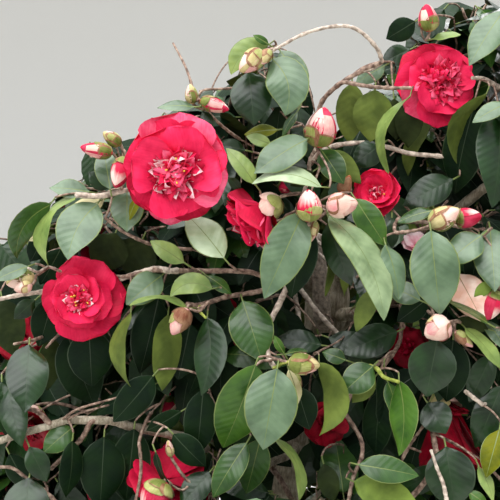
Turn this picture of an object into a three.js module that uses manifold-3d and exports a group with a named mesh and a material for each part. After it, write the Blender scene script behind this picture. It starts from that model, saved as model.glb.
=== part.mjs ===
// A camellia shrub in flower, rooted in the ground: a leaning trunk with a root flare and a swollen
// fork, one bough to each mass of foliage, and the masses themselves, whose twigs carry leaves and blooms.
// Millimetres, +Z up. The origin is the centre of the flat cut under the trunk, at ground level,
// and the photographed side of the shrub faces -Y.
import * as THREE from "three";
import { mergeVertices } from "three/addons/utils/BufferGeometryUtils.js";
import Module from "manifold-3d";

const wasm = await Module();
wasm.setup();

const vec = (x, y, z) => new THREE.Vector3(x, y, z);
const UP = vec(0, 0, 1);
const GOLDEN_ANGLE = Math.PI * (3 - Math.sqrt(5));

// Driving dimensions
const FORK_HEIGHT = 1290;
const FLARE_RADIUS = 44;
const TRUNK_FOOT_RADIUS = 23;
const TRUNK_TOP_RADIUS = 17.5;
const FORK_RADIUS = 28;
const CROWN_LEAN = 0.09;
const JOINT_GAP = 0.3;
const LIMB_CLEARANCE = 3;
const SPACE_CLEARANCE = 1.5;
const LEAF_LENGTH = 144;
const LEAF_WIDTH = 80;
const LEAF_THICKNESS = 3.2;
const BLOOM_DIAMETER = 98;

const BARK = new THREE.MeshStandardMaterial({ color: "#7d6f60", roughness: 0.9, metalness: 0 });
const FOLIAGE = new THREE.MeshStandardMaterial({ color: "#3d6232", roughness: 0.4, metalness: 0 });

// A share from 0 to 1 that is always the same for the same seed and index
function chance(seed, index) {
  const wave = Math.sin(seed * 12.9898 + index * 78.233) * 43758.5453;
  return wave - Math.floor(wave);
}

// A closed three.js geometry as a solid
function solidOf(geometry) {
  geometry.deleteAttribute("normal");
  geometry.deleteAttribute("uv");
  const merged = mergeVertices(geometry, 1e-4);
  return new wasm.Manifold(
    new wasm.Mesh({
      numProp: 3,
      vertProperties: new Float32Array(merged.attributes.position.array),
      triVerts: new Uint32Array(merged.index.array),
    }),
  );
}

// A solid as a three.js geometry
function geometryOf(solid) {
  const mesh = solid.getMesh();
  const geometry = new THREE.BufferGeometry();
  geometry.setAttribute("position", new THREE.BufferAttribute(mesh.vertProperties, 3));
  geometry.setIndex(new THREE.BufferAttribute(mesh.triVerts, 1));
  return geometry;
}

// Moves every vertex of a geometry by a function that changes the vector it is given
function reshape(geometry, move) {
  const position = geometry.attributes.position;
  const point = vec(0, 0, 0);
  for (let i = 0; i < position.count; i++) {
    move(point.fromBufferAttribute(position, i));
    position.setXYZ(i, point.x, point.y, point.z);
  }
  return geometry;
}

// A cylinder, or where it is pointed a cone, bent along a curve. radiusAt gives its radius from the share
// of the way and the angle.
function limb(curve, radiusAt, sides, rings, pointed = false) {
  const frames = [];
  let across = vec(1, 0, 0);
  for (let i = 0; i <= rings; i++) {
    const along = curve.getTangent(i / rings);
    across = across.clone().addScaledVector(along, -across.dot(along)).normalize();
    frames.push({ at: curve.getPoint(i / rings), across, beside: along.clone().cross(across) });
  }
  const cylinder = new THREE.CylinderGeometry(pointed ? 0 : 1, 1, rings, sides, rings);
  return solidOf(
    reshape(cylinder, (point) => {
      const step = Math.round(point.y + rings / 2);
      const frame = frames[step];
      const onAxis = Math.hypot(point.x, point.z) < 1e-6;
      const angle = Math.atan2(point.x, point.z);
      const radius = onAxis ? 0 : radiusAt(step / rings, angle);
      point
        .copy(frame.at)
        .addScaledVector(frame.across, radius * Math.cos(angle))
        .addScaledVector(frame.beside, radius * Math.sin(angle));
    }),
  );
}

// The trunk: nearly upright at the foot, leaning to +X as it rises, and swollen at the fork. Its curve
// starts below the ground, where the flat cut takes the rest away.
const TRUNK_TOP = vec(131, 8, 1325);
const BELOW_GROUND = 40;
const trunkCurve = new THREE.CatmullRomCurve3([
  vec(-1, 0, -BELOW_GROUND),
  vec(3, 0, 70),
  vec(15, 0, 330),
  vec(40, 2, 680),
  vec(76, 4, 1040),
  vec(126, 8, 1270),
  TRUNK_TOP,
]);
const TRUNK_RINGS = 17;
const TRUNK_SIDES = 12;
const ROOT_LOBES = 5;
const LOBE_DEPTH = 0.16;
const LOBE_TURN = 0.4;
const FLARE_HEIGHT = 75;
const SWELL_BELOW_FORK = 15;
const SWELL_HEIGHT = 42;

function trunkRadius(share, angle) {
  const height = trunkCurve.getPoint(share).z;
  const flare = Math.exp(-Math.max(height, 0) / FLARE_HEIGHT);
  const lobe = 1 + LOBE_DEPTH * flare * Math.cos(ROOT_LOBES * angle + LOBE_TURN);
  const taper = TRUNK_FOOT_RADIUS + (TRUNK_TOP_RADIUS - TRUNK_FOOT_RADIUS) * (height / FORK_HEIGHT);
  const swell = Math.exp(-(((height - FORK_HEIGHT + SWELL_BELOW_FORK) / SWELL_HEIGHT) ** 2));
  const fork = (FORK_RADIUS - TRUNK_TOP_RADIUS) * swell;
  return (taper + (FLARE_RADIUS - TRUNK_FOOT_RADIUS) * flare + fork) * lobe;
}

const underground = solidOf(
  new THREE.BoxGeometry(400, 400, 2 * BELOW_GROUND).translate(0, 0, -BELOW_GROUND),
);
function trunkSolid(extra) {
  const radiusAt = (share, angle) => trunkRadius(share, angle) + extra;
  return limb(trunkCurve, radiusAt, TRUNK_SIDES, TRUNK_RINGS).subtract(underground);
}

const trunkSeat = trunkSolid(JOINT_GAP);

// The point on the trunk's axis at a height
function trunkAt(height) {
  let low = 0;
  let high = 1;
  for (let i = 0; i < 30; i++) {
    const middle = (low + high) / 2;
    if (trunkCurve.getPoint(middle).z < height) low = middle;
    else high = middle;
  }
  return trunkCurve.getPoint(low);
}

// The masses of foliage. Each has a centre, a reach sideways and a reach up and down, and a bough that
// leaves the trunk at boughFrom. The rings stand round the leaning axis of the crown, and the two crests
// leave an open notch between them over the fork.
const RINGS = [
  { name: "upper", height: 1362, spread: 262, count: 5, turn: -136, reach: 212, rise: 188, boughFrom: 1165 },
  { name: "middle", height: 1095, spread: 330, count: 5, turn: -100, reach: 215, rise: 180, boughFrom: 890 },
  { name: "lower", height: 800, spread: 345, count: 5, turn: -128, reach: 220, rise: 185, boughFrom: 610 },
  { name: "skirt", height: 535, spread: 235, count: 4, turn: -100, reach: 205, rise: 165, boughFrom: 385 },
];
const RING_STAGGER = 26;

const masses = [
  { name: "crest_left", centre: vec(-5, -205, 1462), reach: 200, rise: 160, boughFrom: 1262 },
  { name: "crest_right", centre: vec(238, -185, 1532), reach: 200, rise: 184, boughFrom: 1298 },
];
for (const ring of RINGS) {
  for (let i = 0; i < ring.count; i++) {
    const turn = THREE.MathUtils.degToRad(ring.turn + (i * 360) / ring.count);
    const stagger = (((i * 2) % ring.count) - 2) * RING_STAGGER;
    masses.push({
      name: `${ring.name}_${i + 1}`,
      centre: vec(
        CROWN_LEAN * ring.height + ring.spread * Math.cos(turn),
        ring.spread * Math.sin(turn),
        ring.height + stagger,
      ),
      reach: ring.reach,
      rise: ring.rise,
      boughFrom: ring.boughFrom + stagger,
    });
  }
}
masses.forEach((mass, i) => {
  mass.seed = i + 1;
});

// Blooms that the photographed side shows, at their places and facing their way
const SHOWN_BLOOMS = [
  { at: vec(-49, -364, 1482), facing: vec(0.12, -1, -0.08), size: 1.08 },
  { at: vec(-147, -322, 1348), facing: vec(0.08, -1, 0.1), size: 0.88 },
  { at: vec(223, -251, 1565), facing: vec(0.25, -1, 0.05), size: 0.92 },
  { at: vec(158, -282, 1450), facing: vec(-0.3, -0.9, 0.2), size: 0.56 },
  { at: vec(30, -343, 1435), facing: vec(-0.85, -0.25, -0.45), size: 0.75 },
  { at: vec(-207, -278, 1202), facing: vec(-0.4, -0.8, -0.2), size: 0.85 },
  { at: vec(-61, -336, 1176), facing: vec(0.3, -0.7, -0.5), size: 0.88 },
  { at: vec(233, -315, 1199), facing: vec(0.2, -0.8, -0.4), size: 0.95 },
];

// True where a point is nearer to this mass than to any other and inside its reach. The space is convex,
// so a straight-edged solid whose vertices all pass lies wholly in it.
function inSpace(mass, point) {
  const out = point.clone().sub(mass.centre);
  if (Math.hypot(out.x / mass.reach, out.y / mass.reach, out.z / mass.rise) > 1) return false;
  return masses.every((other) => {
    if (other === mass) return true;
    const between = other.centre.clone().sub(mass.centre);
    return out.dot(between.clone().normalize()) < between.length() / 2 - SPACE_CLEARANCE;
  });
}

function fitsSpace(mass, solid) {
  const mesh = solid.getMesh();
  for (let i = 0; i < mesh.numVert; i++) {
    if (!inSpace(mass, vec(...mesh.vertProperties.subarray(3 * i, 3 * i + 3)))) return false;
  }
  return true;
}

// A bough leaves the trunk rising, then levels out, and ends where it enters its mass.
const BOUGH_SIDES = 5;
const BOUGH_RINGS = 4;
const BOUGH_END_SHARE = 0.6;
const BOUGH_KNEE_SHARE = 0.27;
const BOUGH_LIFT = 0.1;
const BOUGH_FOOT_RADIUS = 8;
const BOUGH_THICKENING = 1 / 90;
const BOUGH_TIP_RADIUS = 4.2;
const BOUGH_TAPER = 0.8;

function boughCurve(mass) {
  const from = trunkAt(mass.boughFrom);
  const way = mass.centre.clone().sub(from);
  const end = from.clone().addScaledVector(way, BOUGH_END_SHARE);
  const knee = from.clone().addScaledVector(way, BOUGH_KNEE_SHARE);
  knee.z += BOUGH_LIFT * way.length() * (0.4 + 0.6 * chance(mass.seed, 1));
  return new THREE.QuadraticBezierCurve3(from, knee, end);
}

function boughSolid(mass, extra) {
  const foot = BOUGH_FOOT_RADIUS + mass.curve.getLength() * BOUGH_THICKENING;
  return limb(
    mass.curve,
    (share) => foot + (BOUGH_TIP_RADIUS - foot) * share ** BOUGH_TAPER + extra,
    BOUGH_SIDES,
    BOUGH_RINGS,
  );
}

for (const mass of masses) {
  mass.curve = boughCurve(mass);
}

// The stump of a sawn limb, on the front right of the fork
const STUB_FOOT_RADIUS = 9.5;
const STUB_END_RADIUS = 8;
const STUB_SIDES = 8;
const stubCurve = new THREE.LineCurve3(trunkAt(1262), vec(176, -42, 1278));

function stub(extra) {
  const radiusAt = (share) => STUB_FOOT_RADIUS + (STUB_END_RADIUS - STUB_FOOT_RADIUS) * share + extra;
  return limb(stubCurve, radiusAt, STUB_SIDES, 2);
}

const limbsWithClearance = wasm.Manifold.union([
  trunkSolid(LIMB_CLEARANCE),
  stub(LIMB_CLEARANCE),
  ...masses.map((mass) => boughSolid(mass, LIMB_CLEARANCE)),
]);

// A twig is three-sided, in two straight stretches, and tapers along its curve to a point.
const TWIG_RINGS = 2;

function twig(curve, footRadius, tipRadius) {
  return limb(curve, (share) => footRadius + (tipRadius - footRadius) * share, 3, TWIG_RINGS, true);
}

// The point on a twig's axis at a share of its way, and the direction of its stretch there
function alongTwig(curve, share) {
  const stretch = Math.min(Math.floor(share * TWIG_RINGS), TWIG_RINGS - 1);
  const start = curve.getPoint(stretch / TWIG_RINGS);
  const end = curve.getPoint((stretch + 1) / TWIG_RINGS);
  return {
    at: start.clone().lerp(end, share * TWIG_RINGS - stretch),
    along: end.sub(start).normalize(),
  };
}

// A leaf of eight faces, from its foot towards its tip: widest before the middle, folded along the
// midrib, with its tip bent down.
const LEAF_WAIST = 0.42;
const LEAF_FOLD = 0.07;
const LEAF_DROOP = 0.16;

function leaf(foot, along, faceUp, size) {
  const length = LEAF_LENGTH * size;
  const beside = along.clone().cross(faceUp).normalize();
  const normal = beside.clone().cross(along).normalize();
  return solidOf(
    reshape(new THREE.OctahedronGeometry(1), (point) => {
      const share = point.y > 0.5 ? 1 : point.y < -0.5 ? 0 : LEAF_WAIST;
      const edge = Math.abs(point.x) > 0.5 ? 1 : 0;
      const lift =
        point.z * (LEAF_THICKNESS / 2) + edge * LEAF_FOLD * length - LEAF_DROOP * length * share ** 2;
      const side = (point.x * LEAF_WIDTH * size) / 2;
      point
        .copy(foot)
        .addScaledVector(along, share * length)
        .addScaledVector(beside, side)
        .addScaledVector(normal, lift);
    }),
  );
}

// A bloom: a bowl of outer petals with a scalloped rim round a raised tuft
const BLOOM_SIDES = 8;
const BLOOM_PROFILE = [
  [0, -0.26],
  [0.6, -0.1],
  [1, 0.12],
  [0.42, 0.12],
  [0, 0.32],
];

function bloom(at, facing, size) {
  const radius = (BLOOM_DIAMETER * size) / 2;
  const turned = new THREE.Quaternion().setFromUnitVectors(vec(0, 1, 0), facing.clone().normalize());
  const profile = BLOOM_PROFILE.map(([out, up]) => new THREE.Vector2(out * radius, up * radius));
  return solidOf(
    reshape(new THREE.LatheGeometry(profile, BLOOM_SIDES), (point) => {
      const turn = Math.round((Math.atan2(point.x, point.z) / Math.PI) * (BLOOM_SIDES / 2));
      const rim = Math.hypot(point.x, point.z) > 0.9 * radius;
      if (rim && turn % 2 !== 0) point.multiply(vec(0.86, 1, 0.86));
      point.applyQuaternion(turned).add(at);
    }),
  );
}

// The shoots of a mass run from its stem towards the edge of its space.
const SHOOTS = 6;
const LEAVES_ON_SHOOT = 4;
const TRIES = 4;
const STEM_RADIUS = 5;
const SHOOT_RADIUS = 2.5;
const SHOOT_TIP_RADIUS = 1.7;
const SHOOT_END_SHARE = 0.74;
const TIP_LEAF_FOOT_SHARE = 0.6;
const TIP_LEAF_END_SHARE = 0.97;
const SHOOT_LIFT = 0.08;
const SHOOT_SPREAD = 1.5;
const FLOWERING_EVERY = 5;
const FLOWERING_FIRST = 2;
const RULED_BLOOM_SIZE = 0.85;
const LEAF_SUNK = 0.4;
const LEAF_HANG = 0.3;
const LEAF_SPLAY = 0.8;
const SMALLEST_LEAF = 0.86;
const LARGEST_LEAF = 1.1;
const TOP_LEAF_SHARE = 0.86;
const LEAFY_SHARE = 0.72;

// The point at a share of the way from the mass's centre to the edge of its space, in a direction
function towardsEdge(mass, direction, share) {
  const step = 4;
  let reached = 0;
  while (inSpace(mass, mass.centre.clone().addScaledVector(direction, reached + step))) reached += step;
  return mass.centre.clone().addScaledVector(direction, reached * share);
}

// The directions of the shoots, spread over the side of the mass that faces away from the crown's axis
function shootDirection(mass, index) {
  const outwards = vec(mass.centre.x - CROWN_LEAN * mass.centre.z, mass.centre.y, 0).normalize();
  outwards.z = mass.name.startsWith("crest") ? 1.5 : 0.25;
  outwards.normalize();
  const side = outwards.clone().cross(UP).normalize();
  const top = side.clone().cross(outwards);
  const tilt = Math.acos(1 - SHOOT_SPREAD * ((index + 0.5) / SHOOTS));
  const turn = index * GOLDEN_ANGLE + chance(mass.seed, 2) * 2 * Math.PI;
  return outwards
    .multiplyScalar(Math.cos(tilt))
    .addScaledVector(side, Math.sin(tilt) * Math.cos(turn))
    .addScaledVector(top, Math.sin(tilt) * Math.sin(turn));
}

// The way a leaf points from its shoot: forward and out to one side, and hanging a little
function leafDirection(along, turn, splay) {
  const across = along.clone().cross(UP).normalize();
  const over = across.clone().cross(along);
  const direction = along
    .clone()
    .multiplyScalar(Math.cos(splay))
    .addScaledVector(across, Math.sin(splay) * Math.cos(turn))
    .addScaledVector(over, Math.sin(splay) * Math.sin(turn));
  direction.z -= LEAF_HANG;
  return direction.normalize();
}

// The leaf at the end of a shoot points on along it, nearly to the edge of the mass's space.
function tipLeaf(curve, furthest) {
  const foot = alongTwig(curve, TIP_LEAF_FOOT_SHARE).at;
  const way = furthest.clone().sub(foot);
  return leaf(foot, way.clone().normalize(), UP, way.length() / LEAF_LENGTH);
}

function growMass(mass) {
  const tip = mass.curve.getPoint(1);
  const tangent = mass.curve.getTangent(1);
  const stemCurve = new THREE.QuadraticBezierCurve3(
    tip.clone().addScaledVector(tangent, JOINT_GAP),
    tip.clone().addScaledVector(tangent, 0.4 * tip.distanceTo(mass.centre)),
    mass.centre,
  );
  let grown = twig(stemCurve, STEM_RADIUS, SHOOT_RADIUS);
  const blades = [];
  const clear = (solid) => fitsSpace(mass, solid) && solid.intersect(limbsWithClearance).isEmpty();
  const addBlade = (blade) => {
    if (!clear(blade) || blades.some((one) => !blade.intersect(one).isEmpty())) return false;
    blades.push(blade);
    return true;
  };

  const shoots = [];
  for (const shown of SHOWN_BLOOMS.filter((one) => inSpace(mass, one.at))) {
    const facing = shown.facing.clone().normalize();
    const end = shown.at.clone().addScaledVector(facing, -0.1 * BLOOM_DIAMETER * shown.size);
    shoots.push({ end, bloom: { ...shown, facing } });
  }
  for (let i = 0; i < SHOOTS; i++) {
    const direction = shootDirection(mass, i);
    const end = towardsEdge(mass, direction, SHOOT_END_SHARE);
    const taken = shoots.some((one) => one.bloom && one.end.distanceTo(end) < BLOOM_DIAMETER);
    if (!taken) shoots.push({ end, furthest: towardsEdge(mass, direction, TIP_LEAF_END_SHARE) });
  }

  shoots.forEach((shoot, i) => {
    const from = alongTwig(stemCurve, 0.25 + (0.55 * (i + 1)) / shoots.length).at;
    const way = shoot.end.clone().sub(from);
    const knee = from.clone().addScaledVector(way, 0.5).addScaledVector(UP, SHOOT_LIFT * way.length());
    const curve = new THREE.QuadraticBezierCurve3(from, knee, shoot.end);
    const stick = twig(curve, SHOOT_RADIUS, SHOOT_TIP_RADIUS);
    if (!clear(stick)) return;
    grown = grown.add(stick);

    const seed = 100 * mass.seed + i;
    const tail = curve.getTangent(1);
    const apart = SHOWN_BLOOMS.every((one) => one.at.distanceTo(shoot.end) > 1.3 * BLOOM_DIAMETER);
    const flower =
      shoot.bloom ??
      (apart && i % FLOWERING_EVERY === FLOWERING_FIRST && {
        at: shoot.end.clone().addScaledVector(tail, 0.08 * BLOOM_DIAMETER),
        facing: tail.clone().lerp(vec(0, 0, -0.35), 0.3).normalize(),
        size: RULED_BLOOM_SIZE,
      });
    if (flower) addBlade(bloom(flower.at, flower.facing, flower.size));

    for (let k = 0; k < LEAVES_ON_SHOOT; k++) {
      if (flower && k === 0) continue;
      if (k === 0 && addBlade(tipLeaf(curve, shoot.furthest))) continue;
      const { at, along } = alongTwig(curve, TOP_LEAF_SHARE - (LEAFY_SHARE * k) / LEAVES_ON_SHOOT);
      const faceUp = UP.clone().multiplyScalar(0.9).addScaledVector(along, 0.6);
      const size = SMALLEST_LEAF + (LARGEST_LEAF - SMALLEST_LEAF) * chance(seed, 10 + k);
      for (let attempt = 0; attempt < TRIES; attempt++) {
        const turn = (k + attempt * 0.7) * GOLDEN_ANGLE + chance(seed, 3) * 2 * Math.PI;
        const direction = leafDirection(along, turn, LEAF_SPLAY + 0.35 * attempt);
        const foot = at.clone().addScaledVector(direction, -LEAF_SUNK);
        if (addBlade(leaf(foot, direction, faceUp, size))) break;
      }
    }
  });
  return wasm.Manifold.union([grown, ...blades])
    .decompose()
    .reduce((largest, one) => (one.volume() > largest.volume() ? one : largest));
}

const shrub = new THREE.Group();
shrub.name = "camellia_shrub";

function addNode(name, solid, material) {
  const mesh = new THREE.Mesh(geometryOf(solid), material);
  mesh.name = name;
  shrub.add(mesh);
}

addNode("trunk", trunkSolid(0), BARK);
addNode("sawn_stub", stub(0).subtract(trunkSeat), BARK);
for (const mass of masses) {
  addNode(`bough_${mass.name}`, boughSolid(mass, 0).subtract(trunkSeat), BARK);
  addNode(`foliage_${mass.name}`, growMass(mass), FOLIAGE);
}

export default shrub;
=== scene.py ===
import math

import bpy
import numpy as np
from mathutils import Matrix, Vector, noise


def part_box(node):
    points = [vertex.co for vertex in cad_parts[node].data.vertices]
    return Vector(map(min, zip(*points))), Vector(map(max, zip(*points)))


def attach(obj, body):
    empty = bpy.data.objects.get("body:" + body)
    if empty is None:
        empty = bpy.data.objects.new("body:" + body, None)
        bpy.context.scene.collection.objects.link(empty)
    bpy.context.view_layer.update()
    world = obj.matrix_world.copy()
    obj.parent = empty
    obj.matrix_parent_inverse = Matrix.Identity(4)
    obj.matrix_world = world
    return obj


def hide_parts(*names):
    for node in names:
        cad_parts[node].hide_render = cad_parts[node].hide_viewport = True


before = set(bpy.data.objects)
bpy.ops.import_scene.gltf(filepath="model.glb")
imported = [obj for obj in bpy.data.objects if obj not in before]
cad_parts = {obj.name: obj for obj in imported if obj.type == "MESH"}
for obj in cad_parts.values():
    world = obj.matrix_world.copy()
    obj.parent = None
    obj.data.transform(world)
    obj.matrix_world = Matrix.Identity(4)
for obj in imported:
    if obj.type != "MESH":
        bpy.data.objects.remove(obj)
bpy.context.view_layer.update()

# The photographed view: a camera 1.1 m before the crown's front and a little above the fork, looking
# down by 8 degrees. Lengths are millimetres in the model's frame, and MM makes them metres.
MM = 0.001
CAMERA_AT = np.array([24.0, -1429.3, 1553.1])
CAMERA_DOWN = math.radians(8)
PHOTO_MIDDLE = 250
FOCAL_PIXELS = 1100
SENSOR_WIDTH = 36
AHEAD = np.array([0, math.cos(CAMERA_DOWN), -math.sin(CAMERA_DOWN)])
ABOVE = np.array([0, math.sin(CAMERA_DOWN), math.cos(CAMERA_DOWN)])
RIGHT = np.array([1.0, 0, 0])
UP = np.array([0, 0, 1.0])

camera = bpy.data.objects.new("camera", bpy.data.cameras.new("camera"))
camera.data.sensor_width = SENSOR_WIDTH
camera.data.lens = SENSOR_WIDTH * FOCAL_PIXELS / (2 * PHOTO_MIDDLE)
camera.location = CAMERA_AT * MM
camera.rotation_euler = (math.pi / 2 - CAMERA_DOWN, 0, 0)
bpy.context.scene.collection.objects.link(camera)
bpy.context.scene.camera = camera


def seen_point(x, y, depth):
    """The point at a pixel of the photograph, at that depth before the camera"""
    aside = (x - PHOTO_MIDDLE) / FOCAL_PIXELS * RIGHT + (PHOTO_MIDDLE - y) / FOCAL_PIXELS * ABOVE
    return CAMERA_AT + depth * (AHEAD + aside)


def pixels_of(points):
    """The pixel x, pixel y and depth of points, as three arrays"""
    away = np.atleast_2d(points) - CAMERA_AT
    depth = away @ AHEAD
    across = PHOTO_MIDDLE + FOCAL_PIXELS * (away @ RIGHT) / depth
    down = PHOTO_MIDDLE - FOCAL_PIXELS * (away @ ABOVE) / depth
    return across, down, depth


def unit(vectors):
    """Vectors along the last axis, each made one long"""
    return vectors / np.maximum(np.linalg.norm(vectors, axis=-1, keepdims=True), 1e-9)


# The studio: a pale floor whose edge turns up into a pale wall all round, well outside every view, with
# a wide softbox overhead for the sky, one before and one behind the crown, and pale light all round.
FLOOR_RADIUS = 8.0
COVE_RADIUS = 2.5
COVE_STEPS = 10
WALL_TOP = 6.0
SOFTBOXES = [
    # name, place in metres, aimed at, width, watts
    ("sky", (-0.5, -1.0, 4.6), (0.1, -0.1, 1.3), 4.0, 230),
    ("front", (-2.2, -4.0, 3.4), (0.1, 0.0, 1.2), 1.6, 42),
    ("back", (1.8, 3.6, 3.4), (0.1, 0.0, 1.1), 2.4, 60),
]
ROOM_LIGHT = "#eef2f6"
ROOM_STRENGTH = 0.95


def linear(colour):
    """An sRGB hex colour as the linear colour that a shader takes"""
    channels = [int(colour[i : i + 2], 16) / 255 for i in (1, 3, 5)]
    return [c / 12.92 if c <= 0.04045 else ((c + 0.055) / 1.055) ** 2.4 for c in channels] + [1]


def add_node(tree, kind, inputs=None, **settings):
    """Adds a node with its settings. An input is a value, the socket that it is linked from, or a node
    whose first output it is linked from."""
    node = tree.nodes.new("ShaderNode" + kind)
    for name, value in settings.items():
        setattr(node, name, value)
    for name, value in (inputs or {}).items():
        if isinstance(value, bpy.types.Node):
            value = value.outputs[0]
        if isinstance(value, bpy.types.NodeSocket):
            tree.links.new(value, node.inputs[name])
        else:
            node.inputs[name].default_value = value
    return node


def new_material(name):
    """An empty material, and its node tree"""
    material = bpy.data.materials.new(name)
    material.use_nodes = True
    material.node_tree.nodes.clear()
    return material, material.node_tree


def finish_material(tree, **inputs):
    """Ends a material in a Principled BSDF, whose input names are written with _ for each space"""
    named = {name.replace("_", " "): value for name, value in inputs.items()}
    add_node(tree, "OutputMaterial", {"Surface": add_node(tree, "BsdfPrincipled", named)})


bpy.ops.object.select_all(action="DESELECT")
bpy.ops.mesh.primitive_circle_add(vertices=96, radius=FLOOR_RADIUS, fill_type="NGON")
studio_floor = bpy.context.object
studio_floor.name = "studio_floor"
bpy.ops.object.mode_set(mode="EDIT")
radius, height = FLOOR_RADIUS, 0.0
for step in range(1, COVE_STEPS + 2):
    turn = min(step / COVE_STEPS, 1) * math.pi / 2
    wider = FLOOR_RADIUS + COVE_RADIUS * math.sin(turn)
    higher = COVE_RADIUS * (1 - math.cos(turn)) if step <= COVE_STEPS else WALL_TOP
    bpy.ops.mesh.extrude_edges_move(TRANSFORM_OT_translate={"value": (0, 0, higher - height)})
    bpy.ops.transform.resize(value=(wider / radius, wider / radius, 1), center_override=(0, 0, 0))
    radius, height = wider, higher
bpy.ops.mesh.select_all(action="SELECT")
bpy.ops.mesh.normals_make_consistent(inside=True)
bpy.ops.object.mode_set(mode="OBJECT")
bpy.ops.object.shade_smooth_by_angle(angle=math.radians(30))

floor_paint, tree = new_material("matt_pale_floor_paint")
finish_material(tree, Base_Color=linear("#e2e0db"), Roughness=0.85)
studio_floor.data.materials.append(floor_paint)

for name, place, target, width, watts in SOFTBOXES:
    lamp = bpy.data.lights.new(name + "_softbox", "AREA")
    lamp.size = width
    lamp.energy = watts
    softbox = bpy.data.objects.new(name + "_softbox", lamp)
    softbox.location = place
    softbox.rotation_mode = "QUATERNION"
    direction = Vector(target) - Vector(place)
    softbox.rotation_quaternion = direction.to_track_quat("-Z", "Y")
    bpy.context.scene.collection.objects.link(softbox)

world = bpy.data.worlds.new("studio")
world.use_nodes = True
backdrop = world.node_tree.nodes["Background"]
backdrop.inputs["Color"].default_value = linear(ROOM_LIGHT)
backdrop.inputs["Strength"].default_value = ROOM_STRENGTH
bpy.context.scene.world = world
bpy.context.scene.view_settings.view_transform = "Standard"


# Every limb, twig, leaf, petal and scale is a closed tube of rings: round for wood, and for a leaf or a
# petal flattened into a thin blade. Like things are heaped into one mesh, as they grow on one plant.
CREASE = math.radians(110)
grids = {}


def grid_of(rings, around, under_from):
    """The quads between rings, and the triangles at both ends. From the column under_from on, on the
    underside of a blade, the quads fold along the same lines as on top."""
    if (rings, around, under_from) not in grids:
        row = np.arange(rings - 1)[:, None] * around
        here = np.arange(around)[None, :]
        beyond = (here + 1) % around
        quads = np.stack([row + here, row + beyond, row + around + beyond, row + around + here], -1)
        quads[:, under_from:] = np.roll(quads[:, under_from:], -1, axis=-1)
        first, last = rings * around, rings * around + 1
        top = (rings - 1) * around
        here, beyond = here[0], beyond[0]
        opening = np.stack([np.full(around, first), beyond, here], -1)
        closing = np.stack([top + here, top + beyond, np.full(around, last)], -1)
        grids[rings, around, under_from] = quads.reshape(-1, 4), np.concatenate([opening, closing])
    return grids[rings, around, under_from]


class Heap:
    """The tubes of one kind in one part of the plant, gathered for one mesh"""

    def __init__(self, name, finishes):
        self.name, self.finishes = name, finishes
        self.tubes = []
        self.count = 0

    def add_tube(self, first, rings, last, slots, places=None, under_from=None):
        """rings is an array of rings by points. slots is one number, or a row for each stretch between rings
        and before and after them. places are the points' places on their surface."""
        count, around = rings.shape[:2]
        quads, triangles = grid_of(count, around, under_from or around)
        points = np.concatenate([rings.reshape(-1, 3), [first, last]])
        if places is None:
            places = np.zeros((len(points), 2))
        rows = np.broadcast_to(slots, (count + 1, around))
        ends = np.concatenate([rows[0], rows[-1]])
        faces = quads + self.count, triangles + self.count
        self.tubes.append((points, places, *faces, rows[1:-1].ravel(), ends))
        self.count += len(points)

    def add_blade(self, first, rings, last, slots, columns, aside, along, length):
        """A tube flattened to a thin blade, whose first columns are its upper side. aside and along are its
        points' places on that side, which its veins follow."""
        places = np.stack(np.broadcast_arrays(aside, along), -1).reshape(-1, 2)
        places = np.concatenate([places, [(0, 0), (0, length)]]) * MM
        self.add_tube(first, rings, last, slots, places, columns - 1)

    def make_piece(self):
        """The heap as an object that rides on the plant"""
        points, places, quads, triangles, sides, ends = map(np.concatenate, zip(*self.tubes))
        mesh = bpy.data.meshes.new(self.name)
        faces = quads.tolist() + triangles.tolist()
        mesh.from_pydata((points * MM).tolist(), [], faces)
        mesh.polygons.foreach_set("material_index", np.concatenate([sides, ends]).astype(np.int32))
        mesh.polygons.foreach_set("use_smooth", np.ones(len(faces), bool))
        corners = np.empty(len(mesh.loops), np.int32)
        mesh.loops.foreach_get("vertex_index", corners)
        layer = mesh.uv_layers.new(name="place_on_blade")
        layer.data.foreach_set("uv", places[corners].astype(np.float32).ravel())
        for material in self.finishes:
            mesh.materials.append(material)
        mesh.set_sharp_from_angle(angle=CREASE)
        piece = bpy.data.objects.new(self.name, mesh)
        bpy.context.scene.collection.objects.link(piece)
        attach(piece, "root")
        return piece


def round_to(across, over, turn):
    """The way that a turn from across towards over leads to"""
    return across * np.cos(turn) + over * np.sin(turn)


def rings_along(path, radii, sides, relief=None):
    """Round rings along a path. relief(step, angles) adds to the radius."""
    path = np.asarray(path, float)
    along = unit(np.gradient(path, axis=0))
    angles = np.arange(sides) * 2 * math.pi / sides
    across = RIGHT if abs(along[0] @ RIGHT) < 0.9 else UP
    rings = np.empty((len(path), sides, 3))
    for step, (point, direction) in enumerate(zip(path, along)):
        across = unit(across - (across @ direction) * direction)
        radius = radii[step] if relief is None else (radii[step] + relief(step, angles))[:, None]
        rings[step] = point + radius * round_to(across, np.cross(direction, across), angles[:, None])
    return rings


def bend(start, middle, end, steps):
    """A curve that leaves its start towards middle and comes to its end from there"""
    share = np.linspace(0, 1, steps + 1)[:, None]
    return (1 - share) ** 2 * start + 2 * share * (1 - share) * middle + share**2 * end


def chance(seed, index):
    """A share from 0 to 1 that is always the same for the same seed and index"""
    wave = math.sin(seed * 12.9898 + index * 78.233) * 43758.5453
    return wave - math.floor(wave)


# The bark of old camellia wood: thin, smooth and grey-brown, with pale ridges along the limb and darker
# hollows between them. It grows on the trunk, the sawn stub and the boughs, on wood as thick as a finger.
BARK_PALE = "#cbc0ac"
BARK_BROWN = "#9f9480"
BARK_DARK = "#6b6052"
BARK_MOTTLE = 18
BARK_GRAIN = 2.2
BARK_STRETCH = 0.22
BARK_RELIEF = 0.5


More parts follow.
